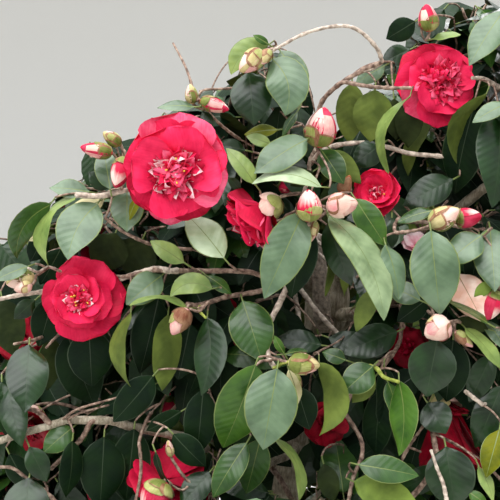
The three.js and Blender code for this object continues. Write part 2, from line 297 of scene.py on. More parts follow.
def set_tones(ramp, spread, colours):
    """Gives a colour ramp its colours, spread evenly about its middle"""
    stops = ramp.color_ramp.elements
    for _ in colours[2:]:
        stops.new(0.5)
    for stop, place, colour in zip(stops, np.linspace(0.5 - spread, 0.5 + spread, len(colours)), colours):
        stop.position = place
        stop.color = linear(colour)


old_bark, tree = new_material("old_camellia_bark")
on_plant = add_node(tree, "TexCoord").outputs["Object"]
mottle = add_node(tree, "TexNoise", {"Vector": on_plant, "Scale": 1 / (BARK_MOTTLE * MM), "Detail": 6})
stretched = add_node(tree, "Mapping", {"Vector": on_plant, "Scale": (1, 1, BARK_STRETCH)})
fine = {"Vector": stretched, "Scale": 1 / (BARK_GRAIN * MM), "Detail": 5, "Roughness": 0.65}
grain = add_node(tree, "TexNoise", fine)
both = add_node(tree, "Math", {0: mottle, 1: grain}, operation="ADD")
halved = add_node(tree, "Math", {0: both, 1: 0.5}, operation="MULTIPLY")
tones = add_node(tree, "ValToRGB", {"Fac": halved})
set_tones(tones, 0.12, [BARK_DARK, BARK_BROWN, BARK_PALE])
relief = add_node(tree, "Bump", {"Height": grain, "Distance": BARK_RELIEF * MM, "Strength": 0.9})
finish_material(tree, Base_Color=tones, Roughness=0.86, Normal=relief, Specular_IOR_Level=0.25)

# The trunk: nearly upright at the foot, with a root flare, leaning as it rises, and swollen at the fork.
# It is one piece of wood with the stub of a limb sawn off at the fork's front right.
FORK_HEIGHT = 1290
FLARE_RADIUS = 44
TRUNK_FOOT_RADIUS = 23
TRUNK_TOP_RADIUS = 17.5
FORK_RADIUS = 28
BELOW_GROUND = 40
TRUNK_POINTS = np.array([
    (-1, 0, -BELOW_GROUND), (3, 0, 70), (15, 0, 330), (40, 2, 680), (76, 4, 1040), (126, 8, 1270),
    (131, 8, 1325),
], float)
ROOT_LOBES = 5
LOBE_DEPTH = 0.16
LOBE_TURN = 0.4
FLARE_HEIGHT = 75
SWELL_BELOW_FORK = 15
SWELL_HEIGHT = 42
TRUNK_RINGS = 260
TRUNK_ABOVE_FORK = 35
TRUNK_SIDES = 48
# Ridges along the trunk: how many go round, how high they are, and how far they wind on the way up
RIDGES = [(3, 0.55, 1.1), (5, 0.5, -2.0), (9, 0.42, 1.6), (14, 0.25, -3.1)]
RIDGE_ROUGHNESS = 0.9
RIDGE_LENGTH = 46
RIDGE_WIND = 400
RIDGE_WAVER = 90
# How much higher the ridges are about the fork, and over what height
SWELL_RIDGES = (1.4, 60)


def through(points, share):
    """The point at a share of the way along a centripetal Catmull-Rom curve through points"""
    place = (len(points) - 1) * share
    span = min(int(place), len(points) - 2)
    weight = place - span
    p1, p2 = points[span], points[span + 1]
    p0 = points[span - 1] if span > 0 else 2 * points[0] - points[1]
    p3 = points[span + 2] if span + 2 < len(points) else 2 * points[-1] - points[-2]
    d0, d1, d2 = (np.linalg.norm(b - a) ** 0.5 for a, b in ((p0, p1), (p1, p2), (p2, p3)))
    t1 = d1 * ((p1 - p0) / d0 - (p2 - p0) / (d0 + d1) + (p2 - p1) / d1)
    t2 = d1 * ((p2 - p1) / d1 - (p3 - p1) / (d1 + d2) + (p3 - p2) / d2)
    cubic = 2 * p1 - 2 * p2 + t1 + t2
    square = -3 * p1 + 3 * p2 - 2 * t1 - t2
    return p1 + t1 * weight + square * weight**2 + cubic * weight**3


def trunk_radius(height, angles):
    """The trunk's radius at a height, for angles round it"""
    flare = math.exp(-max(height, 0) / FLARE_HEIGHT)
    lobe = 1 + LOBE_DEPTH * flare * np.cos(ROOT_LOBES * angles + LOBE_TURN)
    taper = TRUNK_FOOT_RADIUS + (TRUNK_TOP_RADIUS - TRUNK_FOOT_RADIUS) * height / FORK_HEIGHT
    swell = math.exp(-(((height - FORK_HEIGHT + SWELL_BELOW_FORK) / SWELL_HEIGHT) ** 2))
    widest = taper + (FLARE_RADIUS - TRUNK_FOOT_RADIUS) * flare + (FORK_RADIUS - TRUNK_TOP_RADIUS) * swell
    return widest * lobe


def trunk_at(height):
    """The point on the trunk's axis at a height"""
    low, high = 0.0, 1.0
    for _ in range(30):
        middle = (low + high) / 2
        if through(TRUNK_POINTS, middle)[2] < height:
            low = middle
        else:
            high = middle
    return through(TRUNK_POINTS, low)


def ridges(height, angles):
    """The bark's ridges and hollows on the trunk, stronger where the fork swells"""
    more, spread = SWELL_RIDGES
    swell = 1 + more * math.exp(-(((height - FORK_HEIGHT + SWELL_BELOW_FORK) / spread) ** 2))
    ridge = 0
    for count, size, wind in RIDGES:
        waver = math.sin(height / RIDGE_WAVER + count)
        ridge = ridge + size * np.cos(count * angles + count * 1.7 + wind * height / RIDGE_WIND + waver)
    rough = [
        noise.noise((math.cos(a) * 1.8, math.sin(a) * 1.8, height / RIDGE_LENGTH))
        + 0.5 * noise.noise((math.cos(a) * 5, math.sin(a) * 5, height / RIDGE_LENGTH * 3))
        for a in angles
    ]
    return swell * (ridge + RIDGE_ROUGHNESS * np.array(rough))


def trunk_surface(step, angles):
    """The trunk's radius with its bark, at a ring"""
    return trunk_radius(heights[step], angles) + ridges(heights[step], angles)


wood = Heap("trunk_wood", [old_bark])
heights = np.concatenate([[0], np.linspace(2, FORK_HEIGHT + TRUNK_ABOVE_FORK, TRUNK_RINGS)])
axis = np.array([trunk_at(height) for height in heights])
around_trunk = rings_along(axis, 0 * heights, TRUNK_SIDES, trunk_surface)
# The rings of the leaning foot that would lie below the flat cut are drawn up to it
around_trunk[..., 2] = np.maximum(around_trunk[..., 2], 0)
wood.add_tube(axis[0], around_trunk, axis[-1] + UP * 3, 0)
trunk_piece = wood.make_piece()
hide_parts("trunk")

# The sawn stub: a short length of a limb as thick as a thumb, cut square by a saw and weathered grey.
# It leaves the fork at its front right, is of the trunk's own wood, and carries nothing.
STUB_END = np.array([176, -42, 1278])
STUB_FOOT_RADIUS = 9.5
STUB_END_RADIUS = 8
STUB_FOOT_HEIGHT = 1262
STUB_RINGS = 16
STUB_SIDES = 24
SAWN_EDGE = 0.5


def stub_relief(step, angles):
    """The low ridges of the stub's bark"""
    return 0.35 * np.cos(5 * angles + step * 0.2) + 0.2 * np.cos(9 * angles - step * 0.3)


stub = Heap("sawn_stub_wood", [old_bark])
stub_path = np.linspace(trunk_at(STUB_FOOT_HEIGHT), STUB_END, STUB_RINGS)
stub_radii = np.linspace(STUB_FOOT_RADIUS, STUB_END_RADIUS, STUB_RINGS)
stub_radii[-1] -= SAWN_EDGE
stub.add_tube(stub_path[0], rings_along(stub_path, stub_radii, STUB_SIDES, stub_relief), stub_path[-1], 0)
stub_piece = stub.make_piece()
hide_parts("sawn_stub")

# The crown's masses. Each is a space with a centre, a reach sideways and a rise up and down, and it is
# carried by one bough that leaves the trunk at bough_from. The two crests leave a notch over the fork.
CROWN_LEAN = 0.09
RING_STAGGER = 26
SPACE_CLEARANCE = 1.5
RINGS = [
    # name, height, spread, count, turn, reach, rise, bough_from
    ("upper", 1362, 262, 5, -136, 212, 188, 1165),
    ("middle", 1095, 330, 5, -100, 215, 180, 890),
    ("lower", 800, 345, 5, -128, 220, 185, 610),
    ("skirt", 535, 235, 4, -100, 205, 165, 385),
]


class Mass:
    """One mass of foliage: the space it fills, and the seed of its growth"""

    def __init__(self, name, group, centre, reach, rise, bough_from):
        self.name, self.group = name, group
        self.centre = np.array(centre, float)
        self.reach, self.rise, self.bough_from = reach, rise, bough_from


masses = [
    Mass("crest_left", "crests", (-5, -205, 1462), 200, 160, 1262),
    Mass("crest_right", "crests", (238, -185, 1532), 200, 184, 1298),
]
for group, height, spread, count, turn, reach, rise, bough_from in RINGS:
    for i in range(count):
        angle = math.radians(turn + i * 360 / count)
        stagger = ((i * 2) % count - 2) * RING_STAGGER
        x, y = CROWN_LEAN * height + spread * math.cos(angle), spread * math.sin(angle)
        place = (x, y, height + stagger)
        masses.append(Mass(f"{group}_{i + 1}", group, place, reach, rise, bough_from + stagger))
for i, mass in enumerate(masses):
    mass.seed = i + 1
GROUPS = ["crests"] + [ring[0] for ring in RINGS]

REACH_MARGIN = 8
for mass in masses:
    low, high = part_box(f"foliage_{mass.name}")
    mass.low, mass.high = np.array(low) / MM - REACH_MARGIN, np.array(high) / MM + REACH_MARGIN


def in_space(mass, points):
    """True for each point that is nearer to this mass than to any other, and inside its reach"""
    points = np.atleast_2d(points)
    out = points - mass.centre
    inside = (np.hypot(out[:, 0], out[:, 1]) / mass.reach) ** 2 + (out[:, 2] / mass.rise) ** 2 <= 1
    inside &= np.all((points > mass.low) & (points < mass.high), axis=1)
    for other in masses:
        if other is not mass:
            between = other.centre - mass.centre
            half_way = np.linalg.norm(between) / 2 - SPACE_CLEARANCE
            inside &= out @ unit(between) < half_way
    return inside


# The boughs: one tapering limb to each mass. It leaves the trunk rising from a thickened collar, levels
# out, and ends where it enters the mass.
BOUGH_END_SHARE = 0.6
BOUGH_KNEE_SHARE = 0.27
BOUGH_LIFT = 0.1
BOUGH_FOOT_RADIUS = 8
BOUGH_THICKENING = 1 / 90
BOUGH_TIP_RADIUS = 4.2
BOUGH_TAPER = 0.8
BOUGH_RINGS = 34
BOUGH_SIDES = 12
COLLAR = 1.5
COLLAR_SHARE = 0.07


def length_of(path):
    """The length of a path through points"""
    return np.linalg.norm(np.diff(path, axis=0), axis=1).sum()


boughs = Heap("bough_wood", [old_bark])
for mass in masses:
    start = trunk_at(mass.bough_from)
    way = mass.centre - start
    knee = start + BOUGH_KNEE_SHARE * way
    knee = knee + UP * BOUGH_LIFT * np.linalg.norm(way) * (0.4 + 0.6 * chance(mass.seed, 1))
    mass.bough = bend(start, knee, start + BOUGH_END_SHARE * way, BOUGH_RINGS)
    length = length_of(mass.bough)
    foot = BOUGH_FOOT_RADIUS + length * BOUGH_THICKENING
    share = np.linspace(0, 1, BOUGH_RINGS + 1)
    radii = foot + (BOUGH_TIP_RADIUS - foot) * share**BOUGH_TAPER
    radii += COLLAR * np.exp(-share / COLLAR_SHARE)
    seed = mass.seed

    def bough_relief(step, angles):
        ridge = 0.3 * np.cos(3 * angles + seed + step * 0.13) + 0.2 * np.cos(5 * angles - step * 0.21)
        knot = 0.5 * noise.noise((seed * 3.1, step * 0.45, 0.5))
        return ridge * radii[step] / 8 + knot

    boughs.add_tube(start, rings_along(mass.bough, radii, BOUGH_SIDES, bough_relief), mass.bough[-1], 0)
bough_piece = boughs.make_piece()
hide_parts(*[f"bough_{mass.name}" for mass in masses])

# What the photograph shows of the crown's front, by the pixel where each thing is seen and its depth.
# Leaves: name, foot, tip, width, depth, tone, and where a leaf is bent sideways, the middle of its midrib.
SEEN_LEAVES = [
    ("knot_broad", (97, 205), (68, 260), 44, 1085, "sage", (77, 231)),
    ("knot_behind", (103, 200), (62, 222), 21, 1106, "cream"),
    ("far_left_dark", (50, 205), (17, 259), 27, 1108, "mid_flat", (20, 227)),
    ("side_on", (76, 197), (49, 267), 16, 1100, "light", (49, 224)),
    ("cream_tip", (46, 229), (29, 241), 15, 1112, "cream"),
    ("knot_flat", (88, 192), (49, 188), 22, 1116, "sage"),
    ("wedge_pale", (110, 188), (103, 149), 25, 1108, "sage"),
    ("wedge_dark", (108, 188), (88, 172), 18, 1120, "dark"),
    ("spotted", (127, 191), (127, 232), 34, 1112, "sage_green"),
    ("spotted_yellow", (138, 198), (128, 222), 11, 1110, "gold"),
    ("under_knot", (115, 234), (100, 273), 40, 1142, "shade_olive"),
    ("under_bloom", (142, 240), (127, 274), 44, 1152, "shade_olive"),
    ("light_tongue", (183, 262), (150, 241), 20, 1100, "light"),
    ("edge_left", (27, 267), (-6, 281), 17, 1098, "sage"),
    ("bloom_top", (193, 107), (157, 108), 16, 1080, "sage"),
    ("bloom_top_small", (203, 112), (212, 131), 13, 1092, "grey"),
    ("hung_dark", (249, 73), (254, 126), 42, 1084, "grey"),
    ("hung_face", (273, 60), (285, 116), 44, 1074, "sage_green", (288, 85)),
    ("hung_behind", (281, 52), (308, 92), 27, 1098, "sage_green"),
    ("bud_shelter", (267, 46), (231, 75), 27, 1094, "light", (243, 55)),
    ("bud_small", (268, 44), (253, 35), 8, 1090, "bright"),
    ("lit_ridge", (277, 130), (244, 135), 14, 1102, "gold"),
    ("pale_edged", (270, 144), (246, 136), 13, 1094, "light"),
    ("left_of_pale", (244, 150), (216, 144), 16, 1114, "grey"),
    ("curled_tip", (254, 183), (226, 148), 20, 1086, "light"),
    ("narrow_grey", (297, 112), (282, 138), 10, 1100, "mid"),
    ("shoulder", (306, 140), (254, 174), 36, 1080, "sage"),
    ("glossy_strap", (320, 187), (252, 184), 28, 1070, "pale", (286, 176)),
    ("under_strap", (312, 172), (290, 186), 16, 1108, "shade_olive"),
    ("between_blooms", (238, 216), (222, 190), 14, 1120, "grey"),
    ("right_of_bloom", (240, 190), (228, 176), 10, 1112, "dark"),
    ("pointed_light", (223, 257), (186, 214), 36, 1088, "pale"),
    ("veined", (302, 214), (264, 299), 44, 1072, "sage_dim"),
    ("behind_veined", (306, 224), (291, 298), 36, 1106, "deep"),
    ("tongue", (211, 289), (170, 297), 23, 1098, "light", (191, 283)),
    ("tongue_behind", (207, 276), (232, 295), 14, 1108, "mid"),
    ("thin_arch", (188, 308), (129, 306), 12, 1092, "light", (160, 300)),
    ("dark_edge_lit", (207, 319), (201, 396), 33, 1090, "glossy_dark", (213, 352)),
    ("blue_sheen", (243, 302), (262, 362), 45, 1106, "mid"),
    ("front_broad", (277, 370), (263, 450), 54, 1066, "sage_flat"),
    ("backlit", (255, 366), (223, 448), 50, 1084, "bright_dim"),
    ("cream_curl", (289, 371), (298, 405), 13, 1088, "cream"),
    ("twig_small", (284, 353), (274, 335), 9, 1094, "bright"),
    ("twig_small_right", (286, 354), (308, 351), 9, 1094, "mid"),
    ("fork_grey", (320, 345), (276, 338), 24, 1134, "grey"),
    ("centre_dark", (190, 325), (178, 380), 38, 1132, "deep"),
    ("grey_shoulder", (161, 276), (126, 305), 32, 1112, "sage_green"),
    ("column_dark", (158, 300), (140, 374), 38, 1128, "deep_flat"),
    ("pink_edged", (168, 316), (162, 391), 30, 1112, "olive"),
    ("ribbon", (131, 314), (131, 387), 15, 1100, "lime_dim", (119, 348)),
    ("purple_sheen", (203, 391), (197, 455), 34, 1116, "deep_flat"),
    ("yellow_edged", (246, 444), (213, 498), 28, 1098, "mid_flat"),
    ("trunk_left", (260, 440), (246, 494), 32, 1126, "mid_flat"),
    ("trunk_ribbon", (275, 439), (299, 502), 14, 1080, "light", (293, 466)),
    ("foot_blue", (209, 473), (180, 507), 28, 1110, "grey"),
    ("bough_end", (180, 412), (146, 431), 20, 1122, "deep_flat"),
    ("over_deep_bloom", (174, 435), (206, 467), 28, 1106, "deep_flat"),
    ("behind_front", (297, 388), (310, 430), 30, 1112, "deep"),
    ("bloom_slash", (156, 453), (171, 489), 9, 1096, "deep_flat"),
    ("left_sheen", (29, 346), (25, 413), 43, 1085, "sheen"),
    ("left_under", (9, 390), (22, 447), 27, 1112, "grey"),
    ("below_bloom", (89, 330), (92, 387), 46, 1146, "deep_flat"),
    ("below_bloom_wide", (68, 336), (94, 406), 46, 1166, "deep_flat"),
    ("beside_bloom", (53, 298), (39, 347), 32, 1152, "deep"),
    ("left_small", (34, 301), (14, 319), 18, 1142, "dark"),
    ("left_olive", (2, 300), (14, 356), 36, 1160, "shade_olive"),
    ("left_olive_low", (52, 338), (47, 391), 24, 1168, "shade_olive"),
    ("left_edge_dark", (2, 383), (8, 438), 26, 1146, "dark"),
    ("blue_spear", (152, 377), (113, 422), 34, 1108, "deep_flat"),
    ("bough_under", (72, 428), (43, 453), 26, 1122, "mid"),
    ("left_low_grey", (30, 448), (47, 482), 24, 1110, "mid_dark"),
    ("corner_grey", (29, 479), (22, 545), 46, 1090, "grey"),
    ("low_dark", (72, 442), (66, 498), 24, 1122, "deep_flat"),
    ("low_dark_wide", (104, 438), (100, 508), 46, 1140, "deep_flat"),
    ("low_dark_right", (134, 430), (126, 500), 40, 1150, "deep_flat"),
    ("bud_roof", (414, 22), (386, 39), 24, 1150, "deep"),
    ("corner_sage", (503, 12), (469, 66), 33, 1120, "sage"),
    ("petal_top", (434, 39), (461, 35), 10, 1142, "light"),
    ("left_of_bloom_grey", (409, 50), (381, 64), 22, 1188, "grey"),
    ("twig_grey", (384, 66), (355, 84), 19, 1172, "sage_green"),
    ("twig_lit", (406, 86), (386, 75), 13, 1180, "bright"),
    ("curtain_a", (352, 84), (349, 144), 30, 1166, "olive"),
    ("curtain_b", (375, 91), (370, 142), 40, 1150, "olive"),
    ("curtain_ribbon", (410, 97), (389, 174), 13, 1128, "light", (389, 128)),
    ("curtain_c", (410, 100), (408, 148), 28, 1168, "shade_olive"),
    ("curtain_d", (430, 120), (408, 176), 16, 1196, "olive", (413, 148)),
    ("curtain_e", (394, 100), (396, 140), 24, 1172, "shade_olive"),
    ("right_deep", (473, 110), (455, 194), 40, 1152, "deep_flat"),
    ("right_twist", (486, 95), (457, 164), 17, 1126, "olive", (454, 124)),
    ("right_pale", (506, 104), (472, 123), 19, 1104, "sage"),
    ("right_purple", (498, 110), (492, 208), 42, 1114, "sheen"),
    ("crinkled", (381, 145), (352, 166), 27, 1160, "glossy_dark"),
    ("ribbed", (322, 151), (344, 184), 27, 1120, "mid"),
    ("ribbed_right", (332, 151), (361, 184), 20, 1128, "olive"),
    ("long_front", (330, 217), (384, 321), 43, 1072, "silver", (361, 263)),
    ("long_behind", (386, 246), (399, 300), 24, 1086, "sage_green"),
    ("lit_behind_bud", (356, 200), (386, 246), 28, 1104, "bright"),
    ("lit_shadow", (392, 219), (392, 249), 14, 1130, "dark"),
    ("fork_ribbon", (334, 243), (325, 297), 10, 1132, "olive"),
    ("fork_ribbon_right", (342, 249), (344, 297), 11, 1126, "olive"),
    ("long_shadow", (330, 222), (352, 286), 28, 1106, "dark"),
    ("yellow_green", (374, 290), (356, 332), 20, 1102, "lime_dim"),
    ("right_broad", (431, 232), (440, 315), 50, 1068, "sage_flat"),
    ("right_second", (481, 236), (446, 264), 34, 1088, "sage"),
    ("right_gap", (478, 241), (470, 288), 22, 1114, "deep"),
    ("right_third", (490, 229), (495, 292), 40, 1096, "sage"),
    ("right_grey_tip", (419, 300), (388, 287), 26, 1112, "sage"),
    ("right_under_grey", (427, 299), (397, 322), 24, 1128, "deep"),
    ("dark_roof", (452, 180), (403, 206), 32, 1152, "grey"),
    ("mid_roof", (431, 211), (397, 223), 15, 1120, "mid"),
    ("dead_leaf", (458, 275), (483, 322), 36, 1096, "dead"),
    ("dead_leaf_curl", (487, 323), (446, 301), 12, 1086, "mid"),
    ("curl_small", (491, 283), (474, 297), 13, 1090, "lime"),
    ("under_dead", (487, 329), (455, 319), 15, 1104, "shade_olive"),
    ("bud_sheen", (437, 341), (426, 397), 48, 1086, "mid_dark"),
    ("bud_behind", (453, 341), (446, 402), 40, 1116, "deep_flat"),
    ("right_strap", (466, 329), (501, 370), 18, 1080, "light"),
    ("right_strap_grey", (485, 321), (507, 352), 18, 1100, "sage"),
    ("right_mid", (491, 356), (469, 403), 26, 1112, "mid_dark"),
    ("right_low", (501, 387), (475, 448), 34, 1112, "mid_dark"),
    ("gold_spotted", (499, 431), (486, 478), 25, 1080, "gold"),
    ("pale_curl", (479, 467), (493, 502), 14, 1078, "light"),
    ("small_round", (372, 367), (343, 393), 32, 1096, "mid"),
    ("small_round_under", (374, 378), (352, 403), 19, 1106, "olive"),
    ("curved_light", (319, 364), (319, 436), 25, 1090, "lime_dim", (338, 398)),
    ("pair_behind", (388, 383), (400, 428), 19, 1100, "mid"),
    ("pair_front", (399, 382), (399, 456), 28, 1084, "bright", (407, 416)),
    ("pair_shadow", (382, 392), (376, 457), 30, 1132, "deep_flat"),
    ("pair_shadow_left", (384, 368), (380, 426), 20, 1122, "deep_flat"),
    ("fork_low_grey", (396, 332), (342, 354), 34, 1140, "grey"),
    ("fork_low_dark", (330, 338), (384, 356), 26, 1150, "dark"),
    ("fork_low_left", (345, 360), (322, 352), 16, 1128, "mid"),
    ("deep_gloss", (428, 404), (446, 434), 33, 1106, "glossy_dark"),
    ("corner_right", (446, 448), (456, 510), 50, 1092, "mid_dark"),
    ("corner_bright", (469, 492), (488, 505), 12, 1082, "bright"),
    ("low_bright", (360, 465), (419, 476), 26, 1080, "mid_flat"),
    ("low_olive", (355, 482), (421, 508), 34, 1092, "lime"),
    ("low_left_olive", (324, 465), (334, 503), 22, 1130, "shade_olive"),
    ("low_centre_grey", (440, 470), (396, 492), 26, 1124, "mid_dark"),
    ("corner_shade", (10, 455), (30, 490), 24, 1180, "deep_flat"),
    ("left_shade", (60, 250), (40, 285), 26, 1190, "deep_flat"),
    ("left_shade_top", (44, 236), (30, 262), 22, 1190, "deep_flat"),
]
# Blooms: name, middle, depth, width, the way it faces, and how it is made
SEEN_BLOOMS = [
    ("big", (175, 170), 1062, 112, (0.08, -1.0, 0.02), "big"),
    ("layered", (83, 298), 1124, 88, (0.0, -1.0, 0.16), "layered"),
    ("upper_right", (437, 84), 1164, 87, (0.2, -0.95, 0.14), "upper"),
    ("half_open", (378, 194), 1148, 51, (-0.25, -0.95, 0.25), "cup"),
    ("sideways", (257, 218), 1092, 76, (-0.68, 0.14, -0.64), "side"),
    ("deep_left", (29, 427), 1196, 70, (-0.15, -0.6, -0.7), "deep"),
    ("deep_middle", (167, 475), 1146, 86, (0.16, -0.3, 0.93), "lying"),
    ("deep_right", (452, 446), 1150, 84, (0.12, -0.3, -0.95), "bell"),
    ("glimpse_left", (18, 336), 1215, 56, (0.1, -0.8, 0.2), "deep"),
    ("glimpse_middle", (326, 424), 1190, 50, (0.3, -0.9, 0), "deep"),
    ("glimpse_fork", (409, 348), 1225, 46, (-0.3, -0.9, 0.2), "deep"),
    ("glimpse_pink", (416, 242), 1180, 32, (0.1, -0.5, 0.8), "blush"),
]
# Buds: name, foot, tip, width, depth, and its kind
SEEN_BUDS = [
    ("left_lying", (113, 153), (80, 147), 18, 1086, "opening"),
    ("left_green", (121, 145), (103, 132), 15, 1092, "green"),
    ("top_pointed", (193, 104), (190, 84), 14, 1086, "green"),
    ("top_long", (200, 100), (229, 110), 17, 1082, "opening"),
    ("arch_big", (263, 51), (240, 72), 23, 1072, "green"),
    ("arch_small", (270, 50), (261, 64), 14, 1070, "brown"),
    ("tall", (317, 148), (325, 107), 34, 1098, "opening"),
    ("striped", (310, 222), (308, 189), 28, 1066, "opening"),
    ("fat", (326, 207), (358, 203), 27, 1074, "pale"),
    ("top_right", (430, 32), (426, 4), 22, 1140, "opening"),
    ("veined_fat", (429, 226), (460, 209), 26, 1088, "green"),
    ("pink_frilled", (454, 219), (482, 216), 23, 1100, "crimson"),
    ("drooping_brown", (187, 308), (172, 335), 23, 1090, "brown"),
    ("low_green", (288, 362), (320, 366), 24, 1070, "green"),
    ("under_striped", (316, 221), (309, 243), 12, 1082, "green"),
    ("round", (449, 322), (425, 336), 29, 1072, "pale"),
    ("orange", (455, 331), (473, 347), 13, 1088, "brown"),
    ("far_left", (35, 276), (6, 284), 23, 1112, "green"),
    ("far_left_tip", (32, 285), (14, 290), 14, 1102, "pale"),
    ("red_right", (498, 291), (487, 320), 24, 1092, "crimson"),
    ("crimson_left", (127, 157), (115, 188), 24, 1088, "crimson"),
    ("breaking", (164, 480), (146, 516), 36, 1090, "crimson"),
    ("dried", (341, 194), (350, 175), 15, 1130, "dried"),
    ("hidden_green", (171, 457), (168, 440), 9, 1100, "green"),
    ("behind_front_bud", (294, 372), (296, 398), 15, 1100, "green"),
]
# Branches: name, thickness at the foot and at the tip, depth at the foot and at the tip, and the way
SEEN_BRANCHES = [
    ("low_left_bough", 10, 8, 1185, 1128, [(196, 440), (170, 434), (129, 426), (112, 421), (67, 420)]),
    ("low_left_bough_end", 8, 7, 1128, 1118, [(67, 420), (48, 426), (23, 433), (-4, 442)]),
    ("low_left_side", 6, 4.5, 1124, 1116, [(50, 424), (38, 412), (26, 408)]),
    ("low_left_down", 5.5, 4, 1130, 1140, [(90, 423), (82, 438), (68, 452), (51, 469)]),
    ("thin_upper", 3, 2, 1126, 1104, [(62, 420), (76, 410), (119, 397)]),
    ("thin_lower", 2.6, 1.8, 1126, 1110, [(66, 420), (80, 413), (109, 405)]),
    ("bloom_carrier", 5, 5, 1128, 1114, [(262, 276), (249, 272), (191, 271), (153, 270)]),
    ("bloom_carrier_knots", 6.5, 5, 1114, 1128, [(170, 271), (156, 269), (136, 274), (116, 280), (100, 282)]),
    ("bloom_carrier_side", 4, 4, 1116, 1130, [(136, 274), (119, 277), (104, 273)]),
    ("left_pale", 5, 4, 1136, 1120, [(62, 288), (46, 291), (14, 296), (-4, 300)]),
    ("left_pale_top", 3, 2.5, 1134, 1100, [(62, 272), (48, 267), (38, 272), (28, 268)]),
    ("second_carrier", 5.5, 4.5, 1140, 1098, [(268, 289), (256, 292), (226, 297), (199, 305), (187, 304)]),
    ("second_fork_a", 3.5, 2.5, 1102, 1090, [(207, 303), (199, 311), (190, 309)]),
    ("second_fork_b", 3, 2.5, 1100, 1092, [(199, 311), (206, 318)]),
    ("knotty_left", 5, 6, 1118, 1094, [(146, 186), (127, 190), (100, 196), (76, 195)]),
    ("knotty_lower", 3.5, 3, 1122, 1104, [(150, 244), (142, 241), (122, 231), (105, 218)]),
    ("bare_tip", 3, 2, 1090, 1120, [(195, 96), (186, 68), (173, 43)]),
    ("bud_twig", 2.6, 2.4, 1100, 1084, [(236, 88), (220, 89), (202, 91), (197, 101)]),
    ("notch_riser", 5, 4.5, 1168, 1130, [(320, 150), (320, 106), (337, 86), (364, 70), (382, 62)]),
    ("notch_arch", 4.5, 3.2, 1130, 1076, [(382, 62), (378, 50), (361, 32), (345, 26), (309, 32), (270, 52)]),
    ("arch_spur", 3, 2.4, 1082, 1110, [(272, 50), (262, 55), (251, 61)]),
    ("curtain_rail", 4.5, 3.4, 1142, 1128, [(345, 82), (366, 86), (388, 88), (411, 88)]),
    ("whitish", 5, 4.5, 1170, 1160, [(318, 152), (330, 147), (359, 143), (391, 148), (407, 153), (437, 156),
                                     (456, 158)]),
    ("right_knots", 6.5, 3.6, 1170, 1140, [(512, 92), (500, 88), (484, 79), (472, 78)]),
    ("grey_stem", 11, 9, 1230, 1190, [(438, 226), (463, 205), (486, 187), (508, 172)]),
    ("bud_rail", 4, 3, 1110, 1092, [(396, 233), (412, 231), (430, 228)]),
    ("bud_rail_right", 4, 3, 1120, 1100, [(452, 225), (466, 229), (481, 236), (492, 228)]),
    ("tall_bud_stalk", 4, 3.2, 1130, 1098, [(309, 176), (310, 160), (316, 148)]),
    ("striped_bud_stalk", 4, 3.5, 1104, 1072, [(306, 238), (309, 222)]),
    ("centre_hanger", 6.5, 5, 1126, 1088, [(292, 276), (280, 302), (267, 330), (267, 348), (270, 360),
                                           (275, 368)]),
    ("upper_limb", 19, 15, 1418, 1400, [(322, 318), (320, 285), (316, 236)]),
    ("fork_left_twig", 5, 4.5, 1330, 1300, [(294, 290), (298, 312), (301, 334)]),
    ("fork_right_twig", 5.5, 4.5, 1320, 1240, [(301, 290), (320, 315), (345, 340), (356, 346)]),
    ("fork_small_a", 4, 3.5, 1360, 1340, [(318, 242), (327, 249), (337, 252)]),
    ("fork_small_b", 4, 3.5, 1360, 1340, [(318, 253), (324, 258), (331, 262)]),
    ("right_small_twig", 4, 3.5, 1150, 1120, [(410, 298), (420, 305), (433, 315)]),
    ("dark_twig", 4.5, 3.5, 1150, 1120, [(400, 341), (393, 354), (383, 367)]),
    ("low_right_hanger", 4.5, 4, 1130, 1112, [(344, 412), (361, 440), (362, 455), (353, 478), (348, 504)]),
    ("pale_riser", 5, 3, 1078, 1080, [(448, 512), (446, 497), (443, 483), (438, 471), (431, 450)]),
    ("pale_riser_top", 6, 5, 1100, 1112, [(437, 457), (434, 440), (431, 424)]),
    ("rust_twig", 3, 2.8, 1126, 1112, [(402, 460), (412, 442), (424, 425)]),
    ("rust_twig_side", 2.4, 2.2, 1120, 1112, [(409, 447), (421, 452)]),
    ("crossing_twig", 3.5, 3, 1130, 1112, [(480, 460), (460, 447), (436, 434)]),
    ("cut_stick", 4.2, 4.2, 1104, 1098, [(483, 405), (474, 398), (465, 391)]),
    ("low_thin", 3.5, 3, 1128, 1110, [(139, 442), (141, 470), (135, 504)]),
    ("corner_twig", 4, 3, 1120, 1100, [(60, 506), (43, 489), (24, 476), (12, 468), (-4, 467)]),
    ("under_bloom_twig", 3, 2.4, 1150, 1130, [(63, 331), (54, 339), (46, 348)]),
    ("left_bud_twig", 3.5, 2.5, 1150, 1100, [(42, 337), (30, 341), (14, 344)]),
    ("trunk_low_branch", 8, 7, 1420, 1300, [(292, 454), (283, 458), (269, 464), (259, 478), (253, 504)]),
    ("trunk_low_twig", 6, 5, 1370, 1340, [(272, 468), (282, 482), (292, 500)]),
    ("breaking_bud_twig", 2.6, 2.4, 1112, 1096, [(192, 483), (182, 490), (170, 484)]),
    ("yellow_twig", 5, 3.4, 1110, 1086, [(366, 366), (376, 368), (384, 377), (399, 382)]),
    ("bud_tie", 3.6, 3, 1080, 1072, [(275, 368), (283, 363), (289, 362)]),
    ("left_tie", 3.2, 2.6, 1088, 1084, [(270, 361), (262, 361), (255, 366)]),
]
# upper_limb wears the pale bark as painted light, where the crown shades the limb
PALE_BRANCHES = {
    "bloom_carrier_knots", "left_pale", "left_pale_top", "whitish", "pale_riser", "centre_hanger",
    "fork_left_twig", "fork_right_twig", "fork_small_a", "fork_small_b", "knotty_left", "notch_arch",
    "right_knots", "cut_stick", "tall_bud_stalk", "upper_limb",
}
GREEN_BRANCHES = {"yellow_twig", "second_fork_b", "bud_tie"}
